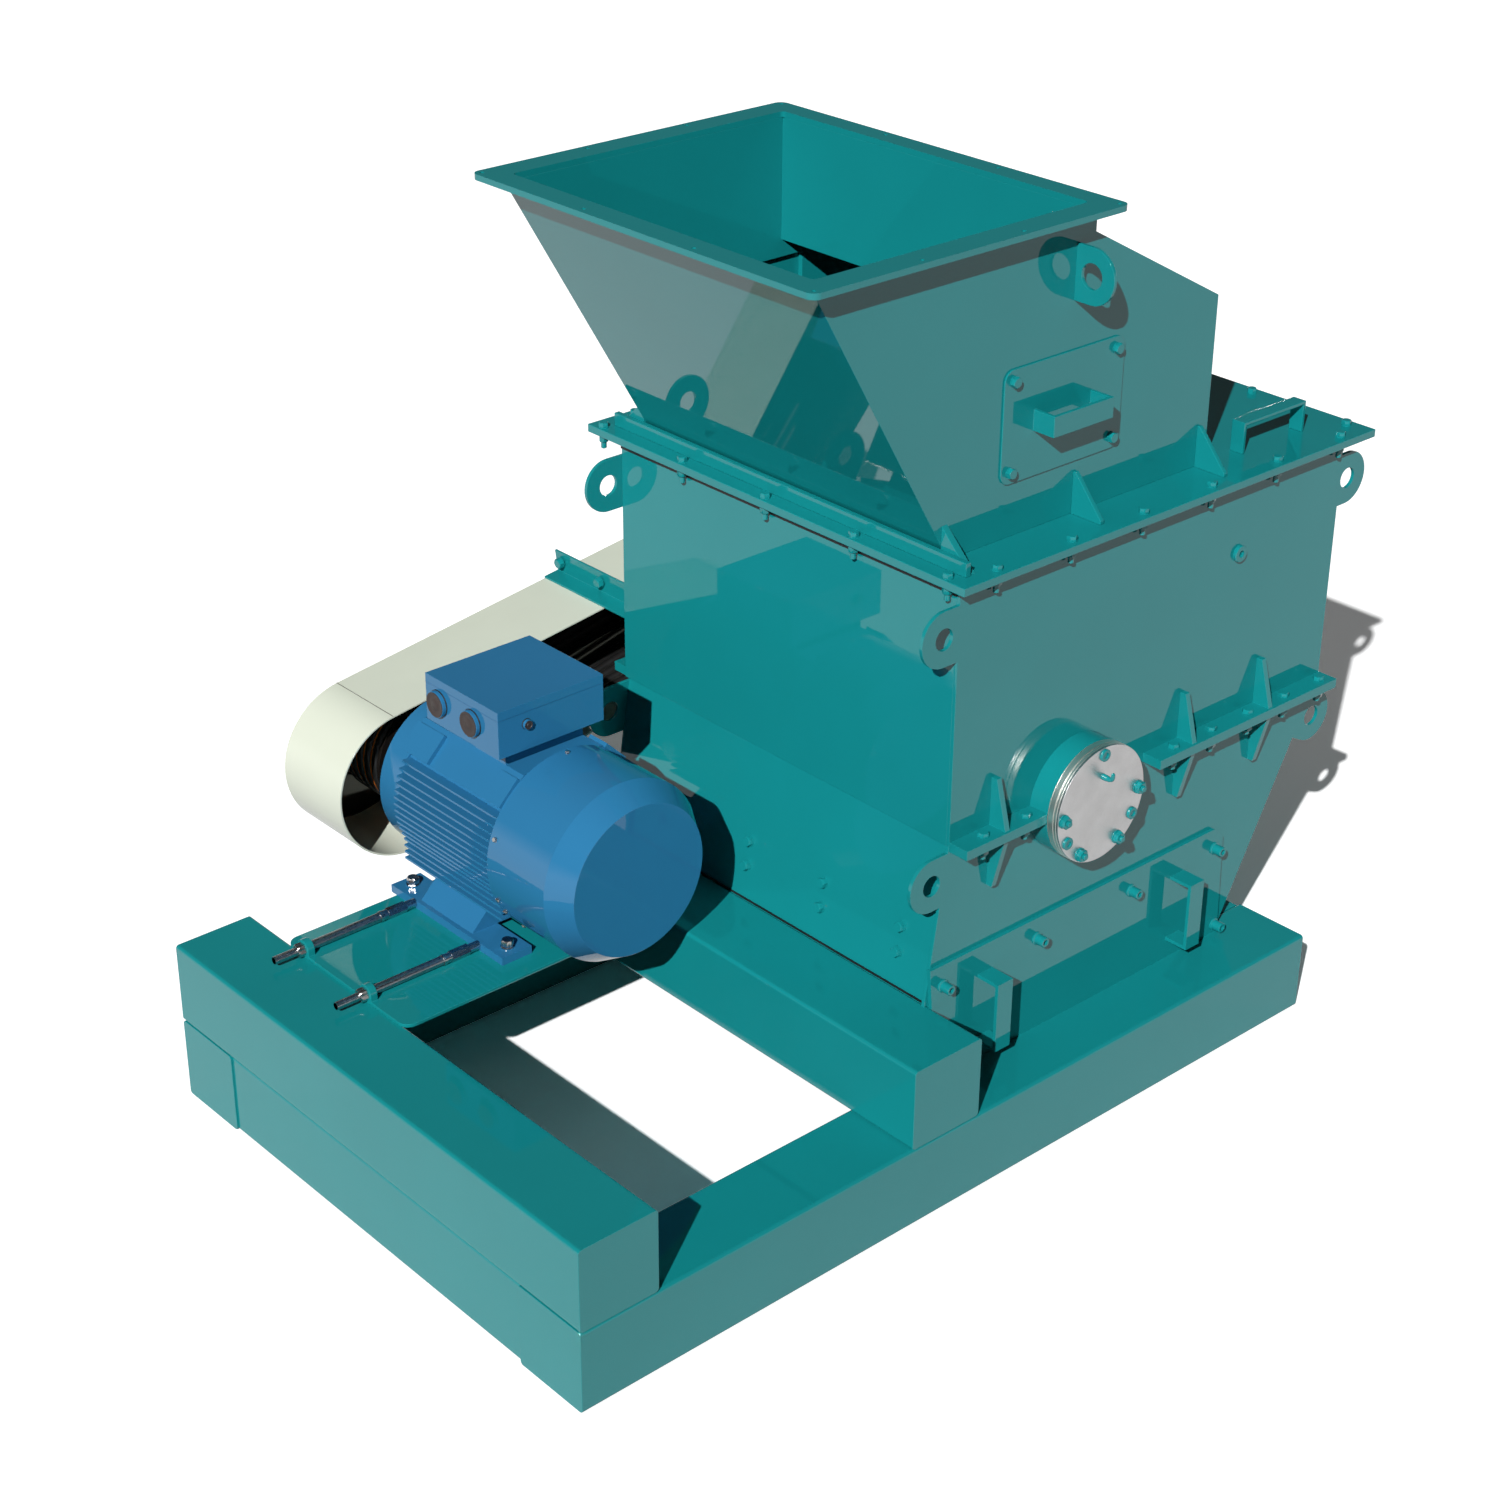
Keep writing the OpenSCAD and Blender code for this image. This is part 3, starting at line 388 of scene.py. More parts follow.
def revolved(reach: Array, height: Array, count: int) -> Array:
    """Sets radii round Z.

    Args:
        reach: radius by height, or by angle and height.
        height: distance along Z.
        count: points round the axis.

    Returns:
        A grid whose point (i, j) is (r_ij cos t_i, r_ij sin t_i, h_j), with t_i the i-th of count
        even angles.
    """
    x = np.cos(around(count)) * reach
    y = np.sin(around(count)) * reach
    return np.stack([x, y, np.broadcast_to(height, x.shape)], axis=-1)


def turned(profile: Union[list, tuple], count: int = 24) -> Array:
    """Turns a profile about Z; its pairs are radius and height, outwards and up."""
    outline = np.array(profile, float)
    return revolved(outline[:, 0], outline[:, 1], count)


def capped(body: Array) -> Array:
    """Closes both ends of a bar's grid at the middle of its first and last ring."""
    first, last = (np.broadcast_to(body[:, end].mean(axis=0), (len(body), 1, 3))
                   for end in (0, -1))
    return np.concatenate([first, body, last], axis=1)


def hexagonal(across: float, height: float, floor: float = 0.0) -> Array:
    """A hexagon bar end with a chamfered crown.

    Args:
        across: width over flats.
        height: height of the head.
        floor: where it starts above the seat.

    Returns:
        A revolved grid whose radius is the smaller of the hexagon's, a / (2 cos u) with u the
        angle from the nearest flat, and the chamfer cone's.
    """
    count = 24
    from_flat = (around(count) + math.pi / 6) % (math.pi / 3) - math.pi / 6
    corner = across / 2 / math.cos(math.pi / 6)
    cone = np.array([0.0, corner, corner, across * HEX_CROWN, 0.0])
    rings = floor + height * np.array([0.0, 0.0, 1 - HEX_CHAMFER, 1.0, 1.0])
    return revolved(np.minimum(across / 2 / np.cos(from_flat), cone), rings, count)


def threaded(radius: float, length: float, pitch: float, depth: float) -> Array:
    """A rod with a helical ridge.

    Args:
        radius: crest radius.
        length: length of the rod along Z.
        pitch: rise of the ridge in one turn.
        depth: depth of the groove.

    Returns:
        A grid whose radius is the crest less half the depth times 1 - cos of 2 pi (h / pitch -
        t / 2 pi), faded out at both ends, with both ends closed.
    """
    height = np.linspace(0.0, length, max(8, int(length / pitch * 4)))
    phase = 2 * math.pi * height / pitch - around(ROD_POINTS)
    fade = np.clip(np.minimum(height, length - height) / pitch, 0.0, 1.0)
    reach = radius - depth * (1 - fade) - fade * depth / 2 * (1 - np.cos(phase))
    return capped(revolved(reach, height, ROD_POINTS))


def tube(path: Array, reach: Array, side: Array) -> Array:
    """A round bar along a bent line in one plane, closed at both ends.

    Args:
        path: points of its middle line.
        reach: its radius at each point.
        side: unit vector square to the plane of the line.

    Returns:
        A grid whose point (i, j) is path_j + reach_j (cos t_i side + sin t_i normal_j), with
        normal_j square to the line and to side.
    """
    heading = np.gradient(path, axis=0)
    heading /= np.linalg.norm(heading, axis=1, keepdims=True)
    turn = around(ROD_POINTS)[..., None]
    out = np.cos(turn) * side + np.sin(turn) * np.cross(heading, side)
    return capped(path + reach[:, None] * out)


def bar(low: Array, high: Array) -> Array:
    """A square-cut bar that fills the box between two corners, as a grid along X."""
    y, z = [low[1], high[1], high[1], low[1]], [low[2], low[2], high[2], high[2]]
    return capped(np.stack([points(x, y, z) for x in (low[0], high[0])], axis=1))


def turn_to(axis: Array, spin: float = 0.0) -> Array:
    """The matrix that turns about Z by spin radians, then carries +Z to a unit axis."""
    tilt = Vector(axis).to_track_quat("Z", "Y").to_matrix()
    return np.array(tilt) @ np.array(Euler((0, 0, spin)).to_matrix())


@dataclass
class Block:
    """The box that a solid fills."""

    lo: Array
    hi: Array

    @classmethod
    def of(cls, node: str) -> "Block":
        """The box of one solid of the machine."""
        low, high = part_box(node)
        return cls(np.array(low), np.array(high))

    @property
    def mid(self) -> Array:
        """Its middle."""
        return (self.lo + self.hi) / 2

    def face_y(self, out: Array, thick: float) -> float:
        """Y of the outer face of a plate, whose inner face lies on the box's inner side."""
        return float(self.hi[1] - thick if out[1] < 0 else self.lo[1] + thick)


@dataclass
class Piece:
    """One named mesh, gathered from grids of points."""

    name: str
    slot: Slot
    crease: float = 32.0
    points: list = field(default_factory=list)
    faces: list = field(default_factory=list)
    count: int = 0

    def add(self, grid: Array, round_u: bool = True) -> "Piece":
        """Adds one surface.

        Args:
            grid: points by row, column and axis.
            round_u: the last row meets the first.

        Returns:
            The piece itself.
        """
        rows, columns = grid.shape[:2]
        index = np.arange(rows * columns).reshape(rows, columns)
        if round_u:
            index = np.concatenate([index, index[:1]], axis=0)
        quads = np.stack([index[:-1, :-1], index[1:, :-1], index[1:, 1:], index[:-1, 1:]], axis=-1)
        self.points.append(grid.reshape(-1, 3))
        self.faces.append(quads.reshape(-1, 4) + self.count)
        self.count += rows * columns
        return self

    def stamp(self, grid: Array, places: Array, axis: Array = Z, spin: float = 0.0) -> None:
        """Adds a copy of a shape at each place.

        Args:
            grid: the shape, which stands on Z = 0.
            places: where its origin goes, a row to each copy.
            axis: where its own Z points.
            spin: turn of the first copy about its own axis; each next one is turned NEXT_TURN
                times as far again.
        """
        for number, place in enumerate(np.atleast_2d(places)):
            turn = turn_to(axis, spin * (1 + NEXT_TURN * number))
            self.add(grid @ turn.T + place)

    def finish(self, material: Optional[Material] = None) -> bpy.types.Object:
        """Makes the object, closes its seams and poles, and lets it ride.

        Args:
            material: its finish; the slot's own one if none is given.

        Returns:
            The object.
        """
        mesh = bpy.data.meshes.new(self.name)
        mesh.from_pydata(np.concatenate(self.points), [], np.concatenate(self.faces).tolist())
        work = bmesh.new()
        work.from_mesh(mesh)
        bmesh.ops.remove_doubles(work, verts=work.verts, dist=POLE_GAP)
        bmesh.ops.dissolve_degenerate(work, edges=work.edges, dist=THIN_FACE)
        work.to_mesh(mesh)
        work.free()
        mesh.polygons.foreach_set("use_smooth", np.ones(len(mesh.polygons), bool))
        mesh.set_sharp_from_angle(angle=math.radians(self.crease))
        mesh.materials.append(material or FINISHES.table[self.slot])
        made = bpy.data.objects.new(self.name, mesh)
        bpy.context.scene.collection.objects.link(made)
        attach(made, "root")
        LOG.info("%s: %d faces", self.name, len(mesh.polygons))
        return made


def coat(node: str, slot: Slot, edge: float = 0.002,
         material: Optional[Material] = None) -> None:
    """Gives a solid its finish and breaks its sharp edges, without touching its own mesh.

    Args:
        node: the solid.
        slot: its material slot.
        edge: width of the broken edges, 0 for none.
        material: its finish; the slot's own one if none is given.
    """
    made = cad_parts[node]
    made.data.materials.clear()
    made.data.materials.append(material or FINISHES.table[slot])
    made.data.polygons.foreach_set("material_index", np.zeros(len(made.data.polygons), np.int32))
    made.modifiers.new("joined", "WELD").merge_threshold = JOIN_GAP
    if edge:
        flat = made.modifiers.new("flat_faces", "DECIMATE")
        flat.decimate_type = "DISSOLVE"
        flat.angle_limit = math.radians(FLAT_WITHIN)
        broken = made.modifiers.new("broken_edges", "BEVEL")
        broken.width = edge
        broken.segments = 2
        broken.limit_method = "ANGLE"
        broken.angle_limit = math.radians(SHARP_OVER)
    made.modifiers.new("face_normals", "WEIGHTED_NORMAL")
    LOG.info("%s: %s", node, slot.value)


COATS = {
    (Slot.TEAL, 0.0010): (
        "near_lower_side", "far_lower_side", "lower_front_wall", "lower_rear_wall",
        "near_upper_side", "far_upper_side", "upper_front_wall", "upper_rear_wall",
        "near_flange", "far_flange"),
    (Slot.TEAL, 0.0015): (
        "near_runner", "far_runner", "cross_members", "front_beam", "middle_beam",
        "guard_bracket", "near_hatch", "far_hatch",
        "hopper_shell", "hopper_rim", "hopper_lugs", "near_door", "far_door"),
    (Slot.TEAL, 0.0020): ("motor_plate", "lid_plate", "lid_bar", "lid_gussets", "lid_handle"),
    (Slot.BLUE, 0.0012): ("motor_frame", "fan_cover", "drive_end_shield", "terminal_box"),
    (Slot.ORANGE, 0.0010): ("rotor_pulley",),
    (Slot.RUBBER, 0.0): ("drive_belts",),
    (Slot.DARK, 0.0008): ("jack_screws",),
    (Slot.POLISHED, 0.0010): ("motor_shaft", "rotor_shaft", "hammer_pins"),
    (Slot.CAST, 0.0015): ("rotor_discs",),
    (Slot.CAST, 0.0030): ("hammers",),
}


def coat_plain() -> None:
    """Coats the solids of COATS, which take their slot's own finish; its keys hold edge widths."""
    for (slot, edge), nodes in COATS.items():
        for node in nodes:
            coat(node, slot, edge)


# ---- fasteners


def disc(radius: float, height: float) -> Array:
    """A plain round washer, ring or sleeve, closed at both ends."""
    return turned([(0.0, 0.0), (radius, 0.0), (radius, height), (0.0, height)])


def stub(radius: float, height: float, chamfer: float = 0.002) -> Array:
    """The end of a threaded rod, with its edge chamfered."""
    return turned([(0.0, 0.0), (radius, 0.0), (radius, height - chamfer),
                   (radius - chamfer, height), (0.0, height)], 16)


@dataclass(frozen=True)
class Bolt:
    """A hexagon bolt, its washer and, where it goes through, its nut and thread end."""

    across: float = 0.030
    head: float = 0.0125
    washer: float = 0.018
    washer_t: float = 0.003
    nut: float = 0.016
    tail: float = 0.010


    def set_in(self, piece: Piece, places: Array, axis: Array, spin: float = 0.2) -> None:
        """Puts washers and heads on a face, with their tops towards the axis."""
        piece.stamp(disc(self.washer, self.washer_t), places, axis)
        piece.stamp(hexagonal(self.across, self.head, self.washer_t), places, axis, spin)

    def nut_under(self, piece: Piece, places: Array, axis: Array, spin: float = 0.5) -> None:
        """Puts nuts on the far face, with the thread's end standing out along the axis."""
        piece.stamp(hexagonal(self.across, self.nut), places, axis, spin)
        piece.stamp(stub(self.across * THREAD_SHARE, self.nut + self.tail), places, axis)


# ---- sub-assemblies


SIDES = (("near", -Y), ("far", Y))


@dataclass
class MotorMount:
    """The slide plate, its two ears and the jack screws that shift the motor."""

    foot_bolt: Bolt = Bolt(0.036, 0.023, 0.022, 0.004)
    foot_inset: float = 0.054
    foot_end: float = 0.044
    foot_len: float = 0.585
    foot_t: float = 0.027
    screw_up: float = 0.017
    screw_y: tuple = (0.207, 0.541)
    ear_t: float = 0.025
    free_end: float = 0.081
    thread_r: float = 0.0135
    thread_pitch: float = 0.004
    thread_root: float = 0.0007
    sleeve_r: float = 0.0150
    sleeve_len: float = 0.270
    ring_r: float = 0.0175
    ring_t: float = 0.012
    nut: float = 0.040
    nut_t: float = 0.025

    def build(self) -> None:
        """Bolts the motor's feet down and dresses the jack screws."""
        self._foot_bolts()
        self._jack_screws()

    def _foot_bolts(self) -> None:
        """Puts a hexagon bolt near each end of both feet."""
        feet = Block.of("motor_frame")
        x = np.array([feet.lo[0] + self.foot_inset, feet.hi[0] - self.foot_inset])
        y = feet.lo[1] + np.array([self.foot_end, self.foot_len - self.foot_end])
        top = feet.lo[2] + self.foot_t
        bolts = Piece("foot_bolts", Slot.POLISHED)
        self.foot_bolt.set_in(bolts, points(np.repeat(x, 2), np.tile(y, 2), top), Z)
        bolts.finish()

    def _jack_screws(self) -> None:
        """Threads the screws' free ends, sleeves their rods and locks them with nuts."""
        plate = Block.of("motor_plate")
        back = plate.lo[0] + self.ear_t
        up = Block.of("motor_frame").lo[2] + self.screw_up
        y = plate.lo[1] + np.array(self.screw_y)
        threads = Piece("jack_threads", Slot.DARK)
        rod = threaded(self.thread_r, self.free_end, self.thread_pitch, self.thread_root)
        threads.stamp(rod, points(Block.of("jack_screws").lo[0], y, up), X)
        threads.finish()
        marks = (60.0, 240.0, 240.0)
        smooth = TurnedSteel("rod_steel", (0.42, 0.43, 0.46), 0.30, marks, 0.000004)
        sleeves = Piece("jack_sleeves", Slot.DARK)
        sleeves.stamp(disc(self.sleeve_r, self.sleeve_len), points(back, y, up), X)
        sleeves.finish(smooth.material())
        nuts = Piece("jack_nuts", Slot.POLISHED)
        nuts.stamp(hexagonal(self.nut, self.nut_t), points(plate.lo[0], y, up), -X, 0.4)
        end = back + self.sleeve_len - self.ring_t
        nuts.stamp(disc(self.ring_r, self.ring_t), points(end, y, up), X)
        nuts.finish()


@dataclass
class Motor:
    """The motor's terminal box and covers."""

    box_front: float = 0.016
    box_side: float = 0.012
    gland_r: float = 0.043
    gland_y: tuple = (0.130, 0.301)
    gland_up: float = 0.076
    gland_proud: float = 0.0015
    plug_r: float = 0.014
    plug_in: float = 0.106
    plug_up: float = 0.088
    # Radius and setback of the black ring round the plug, which is painted shade.
    plug_shade_ring: tuple = (0.016, 0.0105)
    lid_h: float = 0.030
    gasket_h: float = 0.0012
    gasket_out: float = 0.0006
    cover_screw: Bolt = Bolt(0.014, 0.007, 0.0085, 0.0012)
    screw_angles: tuple = (20.0, 90.0, 160.0, 201.0, 212.0, 232.0, 244.0, 308.0)
    screw_in: float = 0.024
    screw_sunk: float = 0.001

    def build(self) -> None:
        """Dresses the terminal box and the fan cover."""
        self._glands()
        self._cover_screws()
        self._box_gasket()

    def _glands(self) -> None:
        """Dishes a dark insert into both cable glands and the plug, with a black ring of painted
        shade round each.
        """
        box = Block.of("terminal_box")
        y = box.lo[1] + self.box_side + np.array(self.gland_y)
        glands = points(box.lo[0], y, box.lo[2] + self.gland_up)
        plug = points(box.lo[0] + self.box_front + self.plug_in, box.lo[1],
                      box.lo[2] + self.plug_up)
        inserts = Piece("gland_inserts", Slot.RUBBER)
        inserts.stamp(self._insert(self.gland_r * 0.95), glands, -X)
        inserts.stamp(self._insert(self.plug_r), plug, -Y)
        inserts.finish(BeltRubber("gland_rubber", (0.030, 0.020, 0.018)).material())
        # The black rubber rings round the glands and the plug are painted shade at their bases.
        shade_rings = Piece("gland_shade_rings", Slot.RUBBER)
        glands_back = glands + (self.box_front - self.gland_proud) * X
        shade_rings.stamp(self._shade_ring(self.gland_r, 0.0022), glands_back, -X)
        radius, back = self.plug_shade_ring
        shade_rings.stamp(self._shade_ring(radius, 0.0018), plug + back * Y, -Y)
        shade_rings.finish()

    def _insert(self, radius: float, rise: float = 0.0016, floor: float = 0.0004) -> Array:
        """A shallow turned insert with two raised rings."""
        steps = [(0, -0.001), (1, -0.001), (1, rise), (0.86, rise), (0.80, floor),
                 (0.45, floor), (0.40, rise), (0, rise)]
        return turned([(radius * share, up) for share, up in steps], 32)

    def _shade_ring(self, radius: float, thick: float) -> Array:
        """A ring of round section: radius + thick cos a out and thick sin a up, a full turn."""
        angle = np.linspace(-math.pi, math.pi, 9)
        return turned(list(zip(radius + thick * np.cos(angle), thick * np.sin(angle))), 40)

    def _cover_screws(self) -> None:
        """Small screws round the rear edge of the fan cover."""
        cover = Block.of("fan_cover")
        radius = (cover.hi[0] - cover.lo[0]) / 2 - self.screw_sunk
        middle = np.array([cover.mid[0], cover.hi[1] - self.screw_in, cover.mid[2]])
        screws = Piece("cover_screws", Slot.POLISHED)
        for angle in np.radians(self.screw_angles):
            out = math.cos(angle) * X + math.sin(angle) * Z
            self.cover_screw.set_in(screws, middle + out * radius, out)
        screws.finish()

    def _box_gasket(self) -> None:
        """A dark gasket line round the terminal box under its lid."""
        box = Block.of("terminal_box")
        low = box.hi[2] - self.lid_h
        x0, x1 = box.lo[0] + self.box_front - self.gasket_out, box.hi[0] + self.gasket_out
        y0, y1 = box.lo[1] + self.box_side - self.gasket_out, box.hi[1] + self.gasket_out
        rows = [points([x0, x1, x1, x0], [y0, y0, y1, y1], z) for z in (low, low + self.gasket_h)]
        Piece("box_gasket", Slot.BLUE, crease=20.0).add(np.stack(rows, axis=1)).finish(
            GlossPaint("gasket_line", (0.012, 0.10, 0.24), sheen=0.3).material())


@dataclass
class BeltDrive:
    """The motor's grooved pulley and the guard round the drive."""

    motor_end_r: float = 0.254
    rotor_end_r: float = 0.192
    seam_r: float = 0.0018
    seam_sunk: float = 0.0008
    # Depth from the near face that is painted black as shade on the pulley.
    painted_shade_depth: float = 0.012
    guard_t: float = 0.008
    bracket_bolt: Bolt = Bolt(0.032, 0.016, 0.019)
    bolt_y: tuple = (0.293, 0.505)
    bolt_in: float = 0.020
    bolt_down: float = 0.036

    def build(self) -> None:
        """Finishes the pulley and the guard, with its seam and its bracket's bolts."""
        coat("drive_pulley", Slot.ORANGE, 0.001, self._pulley_paint())
        coat("belt_guard", Slot.CREAM, 0.0008, self._guard_paint())
        self._seam()
        self._bracket_bolts()

    def _pulley_paint(self) -> Material:
        """Orange on the motor pulley, and black on its near face and rim, which is painted shade.
        """
        paint = Repaint.of(Slot.ORANGE, "drive_pulley_painted_shade")
        past_painted_shade = paint.s.depth() > float(Block.of("drive_pulley").lo[1]) + self.painted_shade_depth
        # Black on the near face and rim is painted shade; the pulley is orange there.
        paint.wire("Base Color", paint.s.blend(past_painted_shade, (0.010, 0.008, 0.007), paint.colour))
        return paint.made

    def _guard_paint(self) -> Material:
        """Cream outside and on the wrap, and black on the inner face of the closed back, which is
        painted shade.
        """
        paint = Repaint.of(Slot.CREAM, "guard_enamel_painted_shade")
        s = paint.s
        facing = s.part(s.node("ShaderNodeNewGeometry", output="Normal"), "Y")
        back = float(Block.of("belt_guard").hi[1]) - self.guard_t
        # The black on the back's inner face is painted shade; the guard is cream inside.
        inner = (s.depth() > back) * (0.0 - facing > 0.5)
        paint.wire("Base Color", s.blend(inner, paint.colour, (0.006, 0.006, 0.006)))
        return paint.made

    def _slope(self) -> tuple:
        """The guard's straight top: its start over the motor, its direction and its normal."""
        guard = Block.of("belt_guard")
        r1, r2 = self.motor_end_r, self.rotor_end_r
        first = np.array([guard.lo[0] + r1, 0.0, guard.lo[2] + r1])
        last = np.array([guard.hi[0] - r2, 0.0, guard.hi[2] - r2])
        gap = last - first
        lift = math.atan2(gap[2], gap[0]) + math.acos((r1 - r2) / np.linalg.norm(gap))
        normal = math.cos(lift) * X + math.sin(lift) * Z
        return first + r1 * normal, np.cross(Y, normal), normal

    def _seam(self) -> None:
        """The joint across the guard's wrap, where the straight sheet meets the round end."""
        guard = Block.of("belt_guard")
        start, run, normal = self._slope()
        across = points(start[0], np.array([guard.lo[1], guard.hi[1]]), start[2])
        angle = np.linspace(0.0, math.pi, 7)
        around = np.cos(angle)[:, None] * run + np.sin(angle)[:, None] * normal
        grid = across[:, None, :] + self.seam_r * around[None, ::-1, :] - self.seam_sunk * normal
        Piece("guard_seam", Slot.CREAM).add(grid, False).finish(
            GlossPaint("seam_shadow", (0.16, 0.16, 0.13), sheen=0.4).material())

    def _bracket_bolts(self) -> None:
        """Two bolts through the bracket's standing leg."""
        bracket = Block.of("guard_bracket")
        _, run, _ = self._slope()
        y = bracket.lo[1] + np.array(self.bolt_y)
        places = points(bracket.hi[0] - self.bolt_in, y, bracket.hi[2] - self.bolt_down)
        bolts = Piece("bracket_bolts", Slot.TEAL)
        self.bracket_bolt.set_in(bolts, places, -run)
        bolts.finish()


@dataclass
class Housing:
    """The fasteners of the split housing, and a dark strip of painted shade under its leaning front
    wall.
    """

    flange_bolt: Bolt = Bolt(0.033, 0.019, 0.020, nut=0.020, tail=0.016)
    from_axis: tuple = (-0.428, -0.248, 0.421, 0.601, 0.781, 0.961, 1.141)
    flange_t: float = 0.016
    wall_bolt: Bolt = Bolt(0.030, 0.016, 0.018, 0.003)
    wall_bolt_rows: tuple = (0.327, 0.410)
    wall_bolt_in: float = 0.139
    wall_bolt_step: float = 0.342
    wall_bolt_count: int = 4
    wall_t: float = 0.020
    plug_in: float = 0.610
    plug_down: float = 0.251
    plug: tuple = ((0, 0), (0.028, 0), (0.028, 0.009), (0.0255, 0.012), (0.012, 0.012),
                   (0.012, 0.004), (0, 0.004))
    # Width of the dark strip of painted shade at the wall's foot.
    shade_line_w: float = 0.005

    def build(self) -> None:
        """Puts the bolts, the plugs and the strip of painted shade in."""
        self._flange_bolts()
        self._wall_bolts()
        self._gauge_plugs()
        self._painted_shade_line()

    def _painted_shade_line(self) -> None:
        """A dark strip of painted shade where the leaning front wall stands on its beam."""
        wall = Block.of("lower_front_wall")
        top = Block.of("middle_beam").hi[2]
        low = np.array([wall.lo[0] - self.shade_line_w, wall.lo[1], top])
        high = np.array([wall.lo[0], wall.hi[1], top + self.shade_line_w])
        # The dark rubber strip is painted shade in the gap at the wall's foot.
        Piece("wall_foot_painted_shade", Slot.RUBBER).add(bar(low, high)).finish()

    def _flange_bolts(self) -> None:
        """Bolts the two flange strips together on both sides."""
        x = Block.of("near_bearing").mid[0] + np.array(self.from_axis)
        bolts = Piece("flange_bolts", Slot.TEAL)
        for side, _ in SIDES:
            middle = Block.of(f"{side}_flange").mid
            top, under = middle[2] + self.flange_t, middle[2] - self.flange_t
            self.flange_bolt.set_in(bolts, points(x, middle[1], top), Z)
            self.flange_bolt.nut_under(bolts, points(x, middle[1], under), -Z)
        bolts.finish()

    def _wall_bolts(self) -> None:
        """Rows of liner bolts on the leaning lower front wall and on the rear one."""
        bolts = Piece("liner_bolts", Slot.TEAL)
        for node, out in (("lower_front_wall", -1.0), ("lower_rear_wall", 1.0)):
            wall = Block.of(node)
            foot_z = Block.of("front_beam").hi[2] if out < 0 else wall.lo[2]
            foot_x = wall.lo[0] if out < 0 else wall.lo[0] + self.wall_t
            top_x = wall.hi[0] - self.wall_t if out < 0 else wall.hi[0]
            slope = (top_x - foot_x) / (wall.hi[2] - foot_z)
            normal = np.array([out, 0.0, -out * slope]) / math.hypot(1.0, slope)
            step = self.wall_bolt_step * np.arange(self.wall_bolt_count)
            y = wall.lo[1] + self.wall_bolt_in + step
            for down in self.wall_bolt_rows:
                row = points(top_x - slope * down, y, wall.hi[2] - down)
                self.wall_bolt.set_in(bolts, row, normal)
        bolts.finish()

    def _gauge_plugs(self) -> None:
        """A turned plug with a round socket on each upper side plate."""
        plugs = Piece("side_plugs", Slot.TEAL)
        for name, out in SIDES:
            side = Block.of(f"{name}_upper_side")
            face = side.lo[1] if out[1] < 0 else side.hi[1]
            place = points(side.hi[0] - self.plug_in, face, side.hi[2] - self.plug_down)
            plugs.stamp(turned(self.plug, 28), place, out)
        plugs.finish()


